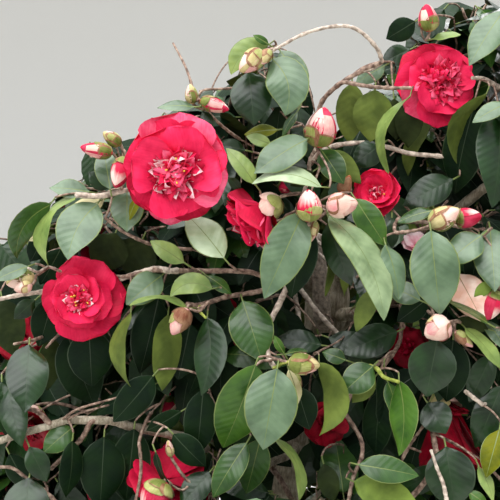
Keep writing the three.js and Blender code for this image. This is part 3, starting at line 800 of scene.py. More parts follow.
OLD_BRANCHES = {"grey_stem", "trunk_low_branch", "low_left_bough", "low_left_bough_end"}
# The top of the crown as the photograph shows it. Above it there is sky, also in the notch over the fork.
CROWN_OUTLINE = [
    (-60, 244), (0, 236), (48, 192), (75, 182), (90, 144), (130, 132), (160, 112), (190, 86), (232, 78),
    (240, 46), (300, 50), (312, 92), (330, 138), (350, 100), (370, 84), (384, 52), (420, 6), (504, -6),
    (560, -20),
]
# Where the trunk is seen between the leaves: left, top, right and bottom
TRUNK_WINDOWS = [(306, 250, 350, 332), (278, 424, 304, 500)]
TRUNK_DEPTH = 1430
FRONT_DEPTH = 1128
CELL = 4
SCREEN_MARGIN = 60
SEEN_GAP = 16
SEEN_MARGIN = 2.5
SKY_MARGIN = 5
# The depth that keeps a cell of the view quite empty
NEVER = 1e6

cells = np.arange(-SCREEN_MARGIN, 2 * PHOTO_MIDDLE + SCREEN_MARGIN, CELL) + CELL / 2
cell_x, cell_y = np.meshgrid(cells, cells)
inside_photo = (cell_x > 0) & (cell_x < 2 * PHOTO_MIDDLE) & (cell_y > 0) & (cell_y < 2 * PHOTO_MIDDLE)
# The nearest depth at which the rule may grow anything, for each cell of the view
clear_from = np.where(inside_photo, float(FRONT_DEPTH), 0.0)
outline_x, outline_y = np.array(CROWN_OUTLINE, float).T
sky = cell_y < np.interp(cell_x, outline_x, outline_y) + SKY_MARGIN
clear_from[sky] = NEVER
windows = np.zeros_like(inside_photo)
for left, top, right, bottom in TRUNK_WINDOWS:
    windows |= (cell_x > left) & (cell_x < right) & (cell_y > top) & (cell_y < bottom)
clear_from[windows] = TRUNK_DEPTH

LEAF_WAIST = 0.43
LEAF_FOOT_FULLNESS = 0.62
LEAF_TIP_FULLNESS = 0.84
LEAF_POINT_SHARE = 0.76


def leaf_outline(share):
    """Half the width of a leaf at a share of its length: broad before the middle, drawn out to a point"""
    share = np.clip(share, 0, 1)
    rise = (share / LEAF_WAIST) ** LEAF_FOOT_FULLNESS
    fall = ((1 - share) / (1 - LEAF_WAIST)) ** LEAF_TIP_FULLNESS
    drawn_out = 1 - 0.3 * np.clip((share - LEAF_POINT_SHARE) / (1 - LEAF_POINT_SHARE), 0, 1)
    return rise * fall * drawn_out


def from_line(x, y, start, end):
    """How far pixels are from the line from start to end, and beside which share of it they are"""
    x, y = x - start[0], y - start[1]
    way = np.subtract(end, start)
    share = np.clip((x * way[0] + y * way[1]) / max(way @ way, 1e-6), 0, 1)
    return np.hypot(x - share * way[0], y - share * way[1]), share


def keep_clear(start, end, half_width, depth, outline=None):
    """Keeps what the rule grows behind a thing that the photograph shows from start to end"""
    aside, share = from_line(cell_x, cell_y, start, end)
    width = half_width * (outline(share) if outline else 1) + SEEN_MARGIN
    covered = (aside < width) & (clear_from < NEVER)
    clear_from[covered] = np.maximum(clear_from[covered], depth + SEEN_GAP)


for name, foot, tip, width, depth, tone, *middle in SEEN_LEAVES:
    line = [foot, *middle, tip]
    for start, end in zip(line, line[1:]):
        keep_clear(start, end, width / 2, depth, None if middle else leaf_outline)
for name, middle, depth, width, facing, make in SEEN_BLOOMS:
    keep_clear(middle, middle, width / 2 - 2, depth + width * 0.2)
for name, foot, tip, width, depth, kind in SEEN_BUDS:
    keep_clear(foot, tip, width / 2, depth + width / 2)
for name, foot_width, tip_width, foot_depth, tip_depth, way in SEEN_BRANCHES:
    for start, end in zip(way, way[1:]):
        keep_clear(start, end, foot_width / 2, max(foot_depth, tip_depth))


def is_clear(points):
    """True where all the points leave the sky open and what the photograph shows uncovered"""
    across, down, depth = pixels_of(points)
    column = np.floor((across + SCREEN_MARGIN) / CELL).astype(int)
    row = np.floor((down + SCREEN_MARGIN) / CELL).astype(int)
    on_screen = (column >= 0) & (column < len(cells)) & (row >= 0) & (row < len(cells))
    return bool(np.all(depth[on_screen] > clear_from[row[on_screen], column[on_screen]]))


def has_room(mass, points):
    """True where all the points are in the mass's space and none covers what the photograph shows"""
    return in_space(mass, points).all() and is_clear(points)


# The young wood: pinkish-brown twigs as thick as a match, greyer and knotty where they are older.
# From each bough's tip one stem goes to the middle of its mass, with shoots towards the mass's edge, and
# they branch twice more, by the same rule, into the twigs that carry the leaves.
TWIG_LOOKS = {
    # name: dark, middle and pale tone
    "young_twig_bark": ("#56443a", "#8d7364", "#b9a18f"),
    "pale_twig_bark": ("#8f7d70", "#c4b3a3", "#ead9c8"),
    "green_twig_bark": ("#6f7a2c", "#94a043", "#bcc168"),
}
TWIG_MOTTLE = 5
TWIG_RELIEF = 0.4

twig_finishes = []
for name, colours in TWIG_LOOKS.items():
    twig_finish, tree = new_material(name)
    on_plant = add_node(tree, "TexCoord").outputs["Object"]
    mottle = add_node(tree, "TexNoise", {"Vector": on_plant, "Scale": 1 / (TWIG_MOTTLE * MM), "Detail": 4})
    tones = add_node(tree, "ValToRGB", {"Fac": mottle})
    set_tones(tones, 0.16, colours)
    relief = add_node(tree, "Bump", {"Height": mottle, "Distance": TWIG_RELIEF * MM, "Strength": 0.8})
    finish_material(tree, Base_Color=tones, Roughness=0.7, Normal=relief, Specular_IOR_Level=0.35)
    twig_finishes.append(twig_finish)
twig_finishes.append(old_bark)
YOUNG_WOOD, PALE_WOOD, GREEN_WOOD, OLD_WOOD = range(len(twig_finishes))

GOLDEN_ANGLE = math.pi * (3 - math.sqrt(5))
SHOOTS = 6
SHOOT_END_SHARE = 0.74
SHOOT_LIFT = 0.08
SHOOT_SPREAD = 1.5
CREST_RISE = 1.5
TIER_RISE = 0.25
STEM_RADIUS = 4.2
SHOOT_RADIUS = 2.6
BRANCHLET_RADIUS = 1.9
TWIG_RADIUS = 1.35
TWIG_TIP_RADIUS = 0.9
BRANCHLETS = 4
BRANCHLET_SPLAY = 0.95
TWIG_SPACING = 26
TWIG_LENGTHS = (42, 88)
TWIG_SPLAY = 0.95
TWIG_KNOTS = 0.12
TWIG_LIFT = 4
BRANCHLET_END_SHARE = 0.86
SHORTEST_BRANCHLET = 40
TWIG_END_SHARE = 0.9
SHORTEST_TWIG = 20
# Each order of twig: its steps, how crooked it is, its radius at the foot and at the tip, and its sides
SHOOT = (12, 1.3, SHOOT_RADIUS, TWIG_RADIUS, 6)
BRANCHLET = (9, 1.2, BRANCHLET_RADIUS, TWIG_RADIUS, 5)
TWIG = (6, 0.8, TWIG_RADIUS, TWIG_TIP_RADIUS, 3)


def direction_of_shoot(mass, index):
    """The shoots are spread over the side of the mass that faces away from the crown's axis"""
    outwards = unit(np.array([mass.centre[0] - CROWN_LEAN * mass.centre[2], mass.centre[1], 0]))
    outwards[2] = CREST_RISE if mass.group == "crests" else TIER_RISE
    outwards = unit(outwards)
    side = unit(np.cross(outwards, UP))
    top = np.cross(side, outwards)
    tilt = math.acos(1 - SHOOT_SPREAD * (index + 0.5) / SHOOTS)
    turn = index * GOLDEN_ANGLE + chance(mass.seed, 2) * 2 * math.pi
    return round_to(outwards, round_to(side, top, turn), tilt)


STRIDE = 4
LONGEST_WAY = 520


def edge_of_space(mass, start, direction, share):
    """A share of the way from a point to where a direction leaves the mass's space"""
    steps = np.arange(STRIDE, LONGEST_WAY, STRIDE)[:, None]
    inside = in_space(mass, start + steps * direction)
    reached = STRIDE * (len(inside) if inside.all() else int(np.argmin(inside)))
    return start + direction * reached * share


def splayed(along, turn, splay):
    """A direction that leaves another by an angle, turned round it"""
    across = unit(np.cross(along, UP) if abs(along[2]) < 0.98 else np.cross(along, RIGHT))
    return unit(round_to(along, round_to(across, np.cross(across, along), turn), splay))


BLOOM_PRICE = 90
FAR_SIDE_PRICE = 1.5
WOOD_BEHIND = 6


def behind_bloom(points):
    """True for each point that a bloom of the photograph hides"""
    across, down, depth = pixels_of(points)
    hidden = np.zeros(len(depth), bool)
    for name, middle, bloom_depth, width, facing, make in SEEN_BLOOMS:
        near_by = np.hypot(across - middle[0], down - middle[1]) < 0.5 * width
        hidden |= near_by & (depth > bloom_depth - 0.4 * width)
    return hidden


class Wood:
    """All the twigs' axes, so that what the photograph shows can be joined to the nearest one"""

    def __init__(self):
        self.noted = []

    def note(self, path):
        self.noted.append((path, pixels_of(path)[2], behind_bloom(path)))

    def nearest(self, point, arriving, front_price):
        """The nearest point of wood. Wood in front of the point, wood behind a bloom, and wood on the side
        towards which a stalk arrives at the point, count as further off."""
        points, depths, hidden = map(np.concatenate, zip(*self.noted))
        before = np.maximum(pixels_of(point)[2][0] + WOOD_BEHIND - depths, 0)
        far_side = np.maximum((points - point) @ arriving, 0)
        hidden = 0 if behind_bloom(point)[0] else BLOOM_PRICE * hidden
        away = np.linalg.norm(points - point, axis=1)
        return points[np.argmin(away + front_price * before + FAR_SIDE_PRICE * far_side + hidden)]


grown_wood = Wood()
for mass in masses:
    grown_wood.note(mass.bough[BOUGH_RINGS // 4 :])
grown_wood.note(axis[-60:])
twig_heaps = {group: Heap(f"twigs_{group}", twig_finishes) for group in GROUPS}


def past_end(path, distance):
    """The point at a distance beyond the end of a path"""
    return path[-1] + unit(path[-1] - path[-2]) * distance


def grow(heap, start, end, lift, seed, steps, crook, foot_radius, tip_radius, sides):
    """A twig from start to end with its middle lifted, bent a little at each bud and thickened at its scar.
    It stops where it would cover the view, and there is none where too little of it is left."""
    path = bend(start, (start + end) / 2 + UP * lift, end, steps)
    turns = np.arange(steps + 1)[:, None] * np.array([2.1, 3.3, 1.7]) + seed
    ease = np.sin(np.linspace(0, np.pi, steps + 1))[:, None] ** 0.5
    path = path + crook * ease * np.sin(turns * 1.9)
    for step in range(len(path)):
        if not is_clear(path[step]):
            path = path[:step]
            break
    if len(path) < 3:
        return None
    radii = np.linspace(foot_radius, tip_radius, len(path))
    radii = radii * (1 + TWIG_KNOTS * np.cos(np.arange(len(path)) * 2.4 + path[0, 0]))
    heap.add_tube(path[0], rings_along(path, radii, sides), past_end(path, radii[-1]), YOUNG_WOOD)
    grown_wood.note(path)
    return path


leafy_twigs = []
for mass in masses:
    heap = twig_heaps[mass.group]
    tip = mass.bough[-1]
    tangent = unit(tip - mass.bough[-2])
    knee = tip + tangent * 0.4 * np.linalg.norm(mass.centre - tip)
    stem = bend(tip - tangent * 6, knee, mass.centre, 10)
    rings = rings_along(stem, np.linspace(STEM_RADIUS, SHOOT_RADIUS, 11), 8)
    heap.add_tube(stem[0], rings, stem[-1], OLD_WOOD)
    grown_wood.note(stem)
    shoots = []
    for i in range(SHOOTS):
        end = edge_of_space(mass, mass.centre, direction_of_shoot(mass, i), SHOOT_END_SHARE)
        start = stem[int(10 * (0.25 + 0.55 * (i + 1) / SHOOTS))]
        path = grow(heap, start, end, SHOOT_LIFT * np.linalg.norm(end - start), mass.seed + i, *SHOOT)
        if path is not None:
            shoots.append((path, 100 * mass.seed + i))
    branchlets = shoots + [(stem[3:], 97 * mass.seed)]
    for path, seed in shoots:
        along = unit(path[-1] - path[0])
        for k in range(BRANCHLETS):
            share = 0.2 + 0.7 * (k + chance(seed, 4)) / BRANCHLETS
            start = path[int(share * (len(path) - 1))]
            direction = splayed(along, k * GOLDEN_ANGLE + chance(seed, 5) * 7, BRANCHLET_SPLAY)
            end = edge_of_space(mass, start, direction, BRANCHLET_END_SHARE)
            reach = np.linalg.norm(end - start)
            if reach < SHORTEST_BRANCHLET:
                continue
            side = grow(heap, start, end, 0.1 * reach, seed + k, *BRANCHLET)
            if side is not None:
                branchlets.append((side, 10 * seed + k))
    for path, seed in branchlets:
        count = max(int(length_of(path) / TWIG_SPACING), 1)
        for k in range(count):
            share = 0.12 + 0.88 * (k + 0.5) / count
            step = min(int(share * (len(path) - 1)), len(path) - 2)
            along = unit(path[step + 1] - path[step])
            direction = splayed(along, k * GOLDEN_ANGLE + chance(seed, 6) * 7, TWIG_SPLAY)
            reach = TWIG_LENGTHS[0] + (TWIG_LENGTHS[1] - TWIG_LENGTHS[0]) * chance(seed, 20 + k)
            end = edge_of_space(mass, path[step], direction, TWIG_END_SHARE)
            end = path[step] + direction * min(reach, np.linalg.norm(end - path[step]))
            if np.linalg.norm(end - path[step]) < SHORTEST_TWIG:
                continue
            side = grow(heap, path[step], end, TWIG_LIFT, seed + k, *TWIG)
            if side is not None:
                leafy_twigs.append((mass, side, 31 * seed + k))
        leafy_twigs.append((mass, path[-4:], 7 * seed + 3))

# The branches that the photograph shows: young ones as thick as a match and older, knotty ones as thick
# as a pencil, with grey, pale or green bark. Each is joined by its foot to the nearest wood behind it.
seen_twigs = Heap("twigs_front", twig_finishes)
SMOOTH_FROM = 4.5
WOOD_OF = {PALE_WOOD: PALE_BRANCHES, GREEN_WOOD: GREEN_BRANCHES, OLD_WOOD: OLD_BRANCHES}


def join_to_wood(heap, point, arriving, radius, slot=YOUNG_WOOD, front_price=2.0):
    """A thin curved twig from the nearest wood to a point, coming to it in a direction"""
    source = grown_wood.nearest(point - arriving * 6, arriving, front_price)
    gap = np.linalg.norm(point - source)
    if gap < 1:
        return
    path = bend(source, (source + point) / 2 + (point - source) * 0.12 - arriving * gap * 0.2, point, 8)
    radii = np.linspace(radius * 1.25, radius, 9)
    heap.add_tube(path[0], rings_along(path, radii, 6), path[-1] + arriving * radius * 0.5, slot)
    grown_wood.note(path)


def real_size(pixels, depth):
    """The real length of what is that many pixels long at a depth"""
    return pixels * depth / FOCAL_PIXELS


for name, foot_width, tip_width, foot_depth, tip_depth, way in SEEN_BRANCHES:
    depths = np.linspace(foot_depth, tip_depth, len(way))
    corners = [seen_point(x, y, depth) for (x, y), depth in zip(way, depths)]
    path = np.array([through(corners, share) for share in np.linspace(0, 1, 7 * len(way))])
    steps = np.arange(len(path))
    radii = real_size(np.linspace(foot_width, tip_width, len(path)) / 2, depths.mean())
    knots = 0.1 * np.cos(steps * 1.9 + foot_width)
    knots = knots + 0.16 * np.maximum(np.cos(steps * 0.83 + tip_width), 0) ** 6
    knots = 1 + knots * min(SMOOTH_FROM / foot_width, 1)
    slot = next((wood for wood, names in WOOD_OF.items() if name in names), YOUNG_WOOD)
    arriving = unit(path[1] - path[0])
    join_to_wood(seen_twigs, path[0], arriving, radii[0] * 0.9, slot)
    rings = rings_along(path, radii * knots, 9)
    seen_twigs.add_tube(path[0] - arriving, rings, past_end(path, radii[-1] * 0.6), slot)
    grown_wood.note(path)

# Camellia leaves: leathery, about 75 mm long, with a glossy dark face, a matt olive back, a pale midrib
# and a short yellow-green stalk. Old ones are dark, new ones light, and a few are yellowed or dead. Some
# faces are paled grey-green as a painted sheen of the sky, the darkest face is painted shade, and the lime
# backs are partly a painted glow of light through the blade.
LEAF_FACES = {
    # name: deep tone, lit tone, roughness, gloss, rib and rim
    # The deep face is painted shade: the near-black green of leaves where the crown shades them
    "leaf_painted_shade": ("#0a1e0f", "#12290f", 0.55, 0.14, "rib_dark"),
    "dark_leaf": ("#11260f", "#1d3a17", 0.3, 0.42, "rib_dark"),
    "mid_leaf": ("#27461b", "#3a5f24", 0.3, 0.45, "rib_pale"),
    # The sage face is leaf green partly paled by a painted sheen of the sky; the silver and pale faces are
    # painted sheen
    "sage_leaf_partly_painted_sheen": ("#475f43", "#657d5e", 0.36, 0.52, "rib_pale"),
    "silver_leaf_painted_sheen": ("#71865f", "#97ab80", 0.36, 0.5, "rib_pale"),
    "pale_leaf_painted_sheen": ("#93a67f", "#b9c9a3", 0.36, 0.5, "rib_pale"),
    "light_leaf": ("#657d3d", "#8ea257", 0.4, 0.45, "rib_pale"),
    "bright_leaf": ("#2c4f15", "#466c1f", 0.36, 0.4, "rib_pale"),
    "gold_leaf": ("#424d02", "#6f7104", 0.5, 0.15, "rib_pale"),
    "cream_leaf": ("#b9ae7c", "#d8d0a4", 0.5, 0.3, "rib_pale"),
    "dead_leaf": ("#e0ab95", "#fbe4d6", 0.6, 0.2, "rib_brown"),
}
LEAF_BACKS = {
    "olive_back": ("#505f28", "#6e7e37", 0.62, 0.2, "rib_pale"),
    "shade_back": ("#1f2a10", "#333f1b", 0.62, 0.15, "rib_dark"),
    # The lime back is yellow-green, partly a painted glow of light shining through the blade
    "lime_back_partly_painted_glow": ("#586e25", "#7f963c", 0.55, 0.25, "rib_pale"),
}
RIBS = {"rib_pale": "#6d7c3f", "rib_dark": "#25391c", "rib_brown": "#a5805c"}
LEAF_MOTTLE = 22
VEIN_SPACING = 7.5
VEIN_SLANT = 0.75
VEIN_WIDTH = 0.07
VEIN_RELIEF = 0.8
VEIN_COLOUR_SHARE = 0.1


def leaf_material(name, deep, lit, roughness, gloss, rib):
    """A leaf's face or back. The side veins run from the midrib towards the edge and the tip."""
    material, tree = new_material(name)
    coordinates = add_node(tree, "TexCoord")
    on_plant = coordinates.outputs["Object"]
    mottle = add_node(tree, "TexNoise", {"Vector": on_plant, "Scale": 1 / (LEAF_MOTTLE * MM), "Detail": 3})
    tones = add_node(tree, "ValToRGB", {"Fac": mottle})
    set_tones(tones, 0.14, [deep, lit])
    place = add_node(tree, "SeparateXYZ", {0: coordinates.outputs["UV"]})
    aside = add_node(tree, "Math", {0: place.outputs["X"]}, operation="ABSOLUTE")
    slant = {0: aside, 1: -VEIN_SLANT, 2: place.outputs["Y"]}
    slanted = add_node(tree, "Math", slant, operation="MULTIPLY_ADD")
    wave = add_node(tree, "Math", {0: slanted, 1: 1 / (VEIN_SPACING * MM)}, operation="MULTIPLY")
    saw = add_node(tree, "Math", {0: wave, 1: 0.5}, operation="PINGPONG")
    vein = add_node(tree, "MapRange", {"Value": saw, "From Max": VEIN_WIDTH, "To Min": 1, "To Max": 0})
    faint = add_node(tree, "Math", {0: vein, 1: VEIN_COLOUR_SHARE}, operation="MULTIPLY")
    veined = add_node(tree, "Mix", {"Factor": faint, 6: tones, 7: linear(RIBS[rib])}, data_type="RGBA")
    relief = add_node(tree, "Bump", {"Height": saw, "Distance": VEIN_RELIEF * MM, "Strength": 0.4})
    coat = 0.1 if gloss > 0.4 else 0.0
    finish_material(tree, Base_Color=veined.outputs[2], Roughness=roughness, Normal=relief,
                    Specular_IOR_Level=gloss, Coat_Weight=coat, Coat_Roughness=0.2)
    return material


leaf_finishes = [leaf_material(name, *look) for name, look in (LEAF_FACES | LEAF_BACKS).items()]
for name, colour in RIBS.items():
    rib_finish, tree = new_material(name)
    finish_material(tree, Base_Color=linear(colour), Roughness=0.45)
    leaf_finishes.append(rib_finish)
SLOT = {material.name: i for i, material in enumerate(leaf_finishes)}

# A tone is the face's finish, the back's finish, and how far the side that shows is tilted up to the sky
TONES = {
    # The sage, silver and pale tones show faces with painted sheen; the deep tones show the face painted in
    # shade
    "sage": ("sage_leaf_partly_painted_sheen", "olive_back", 0.62),
    "silver": ("silver_leaf_painted_sheen", "olive_back", 0.5),
    "pale": ("pale_leaf_painted_sheen", "lime_back_partly_painted_glow", 0.62),
    "sage_dim": ("sage_leaf_partly_painted_sheen", "olive_back", 0.15),
    "sage_green": ("sage_leaf_partly_painted_sheen", "olive_back", 0.34),
    "sage_flat": ("sage_leaf_partly_painted_sheen", "olive_back", -0.05),
    "sheen": ("dark_leaf", "olive_back", 0.42),
    "grey": ("dark_leaf", "shade_back", 0.3),
    "mid": ("mid_leaf", "olive_back", 0.25),
    "mid_flat": ("mid_leaf", "olive_back", -0.2),
    "mid_dark": ("dark_leaf", "olive_back", -0.15),
    "dark": ("dark_leaf", "shade_back", 0.0),
    "deep": ("leaf_painted_shade", "shade_back", -0.15),
    "deep_flat": ("leaf_painted_shade", "shade_back", -0.35),
    "glossy_dark": ("dark_leaf", "olive_back", 0.2),
    "light": ("light_leaf", "lime_back_partly_painted_glow", 0.3),
    "bright": ("bright_leaf", "lime_back_partly_painted_glow", 0.0),
    "bright_dim": ("bright_leaf", "lime_back_partly_painted_glow", -0.5),
    "gold": ("gold_leaf", "lime_back_partly_painted_glow", 0.2),
    "cream": ("cream_leaf", "cream_leaf", 0.3),
    "dead": ("dead_leaf", "dead_leaf", 0.2),
    "olive": ("mid_leaf", "olive_back", -0.15),
    "shade_olive": ("leaf_painted_shade", "shade_back", -0.1),
    "lime": ("bright_leaf", "lime_back_partly_painted_glow", 0.0),
    "lime_dim": ("bright_leaf", "olive_back", 0.0),
}
BACKS_SEEN = {"olive", "shade_olive", "lime", "lime_dim"}
STALK_LENGTH = 9
STALK_RADIUS = 0.85
RIB_HALF_WIDTH = 0.5
RIM_SHARE = 0.05
BLADE_THICKNESS = 0.7
SIMPLE = np.array([0.0, 0.06, 0.24, 0.46, 0.7, 0.9, 1.0])
FINE = np.array([0.0, 0.03, 0.1, 0.19, 0.29, 0.4, 0.51, 0.62, 0.73, 0.83, 0.91, 0.965, 1.0])


def ways_along(spine, up):
    """The ways forward, across and out of the face, at each point of a blade's spine"""
    forward = unit(np.gradient(spine, axis=0))
    across = unit(np.cross(forward, up))
    return forward, across, np.cross(across, forward)


def leaf_slots(face, back, detail):
    """The finish of each face round and along a leaf: the stalk, then the blade with its rib"""
    rib = LEAF_FACES[face][-1] if face in LEAF_FACES else "rib_pale"
    side = [rib, face, face] if detail is FINE else [face]
    under = [back] * (4 if detail is FINE else 2)
    strip = [SLOT[name] for name in side + [rib] + side[::-1] + under]
    stalk = [SLOT["rib_pale"]] * len(strip)
    return np.array([stalk] * 2 + [strip] * (len(detail) - 1))


def add_leaf(heap, stalk_from, foot, tip, up, width, face, back, detail, arch=0.05, droop=0.0, fold=0.12,
             curl=0.2, wave=0.04, aside=0.0, phase=0.0):
    """A leaf on its stalk, from its blade's foot to its tip, its face towards up. Shares of the length: arch
    lifts its middle and droop drops its tip. Shares of the width: fold lifts both halves from the midrib,
    curl turns the edges down, and wave makes them wavy. aside is how far its middle is bent sideways."""
    length = np.linalg.norm(tip - foot)
    along = (tip - foot) / length
    up = np.cross(unit(np.cross(along, up)), along)
    share = detail[:, None]
    spine = foot + (tip - foot) * share
    spine = spine + up * length * (arch * 4 * share * (1 - share) - droop * share**2)
    spine = spine + aside * 4 * share * (1 - share)
    forward, across, normal = ways_along(spine, up)
    half = width / 2 * leaf_outline(detail)[1:-1, None]
    rib = np.minimum(RIB_HALF_WIDTH * (1.2 - share[1:-1]) / np.maximum(half, 0.1), 0.3)
    one = np.ones_like(half)
    if detail is FINE:
        inner = one - RIM_SHARE
        over = np.concatenate([-one, -inner, -0.55 * one, -rib, rib, 0.55 * one, inner, one], 1)
        under = np.concatenate([0.55 * one, 0 * one, -0.55 * one], 1)
    else:
        over = np.concatenate([-one, -rib, rib, one], 1)
        under = 0 * one
    columns = over.shape[1]
    places = np.concatenate([over, under], 1)
    flat = np.abs(places)
    height = half * (fold * flat - curl * flat**2)
    height = height + wave * width * flat**2 * np.sin(9.5 * share[1:-1] + phase + 1.3 * np.sign(places))
    height[:, columns:] -= BLADE_THICKNESS
    rings = spine[1:-1, None] + across[1:-1, None] * (places * half)[..., None]
    rings = rings + normal[1:-1, None] * height[..., None]
    round_stalk = np.sqrt(np.maximum(1 - places[0] ** 2, 0)) * STALK_RADIUS
    round_stalk[columns:] *= -1
    ring = places[0][:, None] * STALK_RADIUS * across[0] + round_stalk[:, None] * normal[0]
    rings = np.concatenate([[stalk_from + ring, foot - along + ring], rings])
    beside = np.concatenate([np.zeros((2, places.shape[1])), places * half])
    distance = np.concatenate([[0, 0], detail[1:-1] * length])[:, None]
    slots = leaf_slots(face, back, detail)
    heap.add_blade(stalk_from - along * 0.6, rings, spine[-1], slots, columns, beside, distance, length)
    return spine


class Spacing:
    """Keeps the leaves apart: a leaf whose midrib comes near another leaf's is left out"""

    def __init__(self, gap):
        self.gap = gap
        self.taken = {}

    def key(self, point):
        return tuple(np.floor(point / self.gap).astype(int))

    def free(self, points):
        for point in points:
            x, y, z = self.key(point)
            for i in (x - 1, x, x + 1):
                for j in (y - 1, y, y + 1):
                    for k in (z - 1, z, z + 1):
                        for other in self.taken.get((i, j, k), ()):
                            if np.sum((other - point) ** 2) < self.gap**2:
                                return False
        return True

    def take(self, points):
        for point in points:
            self.taken.setdefault(self.key(point), []).append(point)


LEAF_GAP = 11
spacing = Spacing(LEAF_GAP)
front_leaves = Heap("leaves_front", leaf_finishes)
leaf_spans = []
NATURAL_WIDTH = 0.47
MOST_TURNED = math.radians(62)

for number, (name, foot, tip, width, depth, tone, *middle) in enumerate(SEEN_LEAVES):
    face, back, tilt = TONES[tone]
    shows_face = tone not in BACKS_SEEN
    centre = seen_point((foot[0] + tip[0]) / 2, (foot[1] + tip[1]) / 2, depth)
    showing = unit(unit(CAMERA_AT - centre) + tilt * UP)
    ends = []
    for x, y in (foot, tip):
        ray = seen_point(x, y, 1) - CAMERA_AT
        end_depth = (centre - CAMERA_AT) @ showing / (ray @ showing)
        most = 0.45 * math.dist(foot, tip)
        ends.append(seen_point(x, y, np.clip(end_depth, depth - most, depth + most)))
    foot_point, tip_point = ends
    along = unit(tip_point - foot_point)
    length = np.linalg.norm(tip_point - foot_point)
    seen_width = real_size(width, depth)
    sideways = unit(np.cross(along, showing))
    turn = math.acos(min(seen_width / (NATURAL_WIDTH * length), 1))
    turn = min(turn, MOST_TURNED) * (1 if sideways[2] < 0 else -1)
    if abs(along[2]) > 0.8:
        turn *= 1 if number % 2 else -1
    showing = showing * math.cos(turn) - sideways * math.sin(turn)
    aside = 0.0
    if middle:
        bent = seen_point(*middle[0], depth) - (foot_point + tip_point) / 2
        aside = (bent @ sideways) * sideways
    up = showing if shows_face else -showing
    stalk_from = foot_point + (unit(along + 0.25 * AHEAD) - 2 * along) * STALK_LENGTH
    spine = add_leaf(
        front_leaves, stalk_from, foot_point, tip_point, up, seen_width / math.cos(turn), face, back, FINE,
        arch=0.07 if shows_face else -0.03, fold=0.16 + 0.12 * chance(number, 1),
        curl=0.12 + 0.2 * chance(number, 2), wave=0.02 + 0.03 * chance(number, 3), aside=aside,
        phase=6 * chance(number, 4),
    )
    spacing.take(spine[1:-1:2])
    leaf_spans.append((foot_point, tip_point, seen_width))
    join_to_wood(seen_twigs, stalk_from, unit(foot_point - stalk_from), 1.0)

# The leaves that the rule grows: along each twig in turn round it, hanging, with their faces outwards.
# All the leaves of a twig are as old as one another, so they have one tone, dealt darker inside the crown as
# painted shade.
LEAF_LENGTH = 75
LEAF_WIDTH = 37
LEAF_STEP = 13
LEAF_SPLAY = 0.95
LEAF_HANG = 0.6
TIP_LEAVES = 3
leaf_heaps = {group: Heap(f"leaves_{group}", leaf_finishes) for group in GROUPS}
# How often each pair of finishes is dealt to a spray, on the lit outside of the crown and inside it, where
# more faces are painted shade
OUTER_SPRAYS = [("dark_leaf", 0.46), ("mid_leaf", 0.28), ("sage_leaf_partly_painted_sheen", 0.1), ("light_leaf", 0.07),
                ("bright_leaf", 0.06), ("gold_leaf", 0.015), ("leaf_painted_shade", 0.015)]
INNER_SPRAYS = [("leaf_painted_shade", 0.45), ("dark_leaf", 0.4), ("mid_leaf", 0.15)]
LIME_BACKED = {"light_leaf", "bright_leaf", "gold_leaf"}
DEEP_IN = 1450
LIT_FROM = 210
flower_sites = []


def deal(sprays, share):
    """The finish that a share from 0 to 1 falls to"""
    for name, part in sprays:
        share -= part
        if share < 0:
            return name
    return sprays[0][0]


for mass, path, seed in leafy_twigs:
    axis_here = np.array([CROWN_LEAN * path[-1][2], 0, path[-1][2]])
    outwards = unit((path[-1] - axis_here) * (1, 1, 0.0) + UP * 1e-3)
    from_middle = np.linalg.norm((path[-1] - axis_here)[:2])
    across, down, depth = (float(value[0]) for value in pixels_of(path[-1]))
    in_view = max(abs(across - PHOTO_MIDDLE), abs(down - PHOTO_MIDDLE)) < PHOTO_MIDDLE
    outside = from_middle > LIT_FROM and not (in_view and depth < DEEP_IN)
    sprays = OUTER_SPRAYS if outside else INNER_SPRAYS
    face = deal(sprays, chance(seed, 7))
    back = "shade_back" if face == "leaf_painted_shade" else "lime_back_partly_painted_glow" if face in LIME_BACKED else "olive_back"
    lengths = np.concatenate([[0], np.cumsum(np.linalg.norm(np.diff(path, axis=0), axis=1))])
    feet = list(np.arange(lengths[-1] * 0.3, lengths[-1] - 4, LEAF_STEP)) + [lengths[-1]] * TIP_LEAVES
    bears_leaves = False
    for k, place in enumerate(feet):
        start = np.array([np.interp(place, lengths, path[:, i]) for i in range(3)])
        step = min(int(np.searchsorted(lengths, place)), len(path) - 1)
        along = unit(path[step] - path[step - 1])
        size = 0.78 + 0.4 * chance(seed, 30 + k)
        for attempt in range(2):
            direction = splayed(along, (k + 1.6 * attempt) * 2.4 + chance(seed, 8) * 6.3, LEAF_SPLAY)
            direction = unit(direction + outwards * 0.35 - UP * LEAF_HANG)
            face_up = UP * (0.55 + 0.5 * chance(seed, 60 + k)) + outwards * 0.75
            foot = start + direction * STALK_LENGTH
            tip = foot + direction * LEAF_LENGTH * size
            beside = unit(np.cross(direction, face_up)) * LEAF_WIDTH * size / 2
            middle = foot + (tip - foot) * 0.45
            corners = np.array([foot, tip, middle + beside, middle - beside, middle, (middle + tip) / 2])
            inner = np.array([foot + (tip - foot) * s for s in (0.2, 0.45, 0.7, 0.95)])
            if not (has_room(mass, corners) and spacing.free(inner)):
                continue
            spacing.take(inner)
            add_leaf(
                leaf_heaps[mass.group], start, foot, tip, face_up, LEAF_WIDTH * size, face, back, SIMPLE,
                arch=0.04, droop=0.06 + 0.1 * chance(seed, 90 + k), fold=0.2 * chance(seed, 120 + k) + 0.08,
                curl=0.1 + 0.2 * chance(seed, 150 + k), phase=6 * chance(seed, 180 + k),
            )
            leaf_spans.append((foot, tip, LEAF_WIDTH * size * 0.8))
            bears_leaves = True
            break
    if bears_leaves:
        flower_sites.append((mass, path, seed, outwards, from_middle))

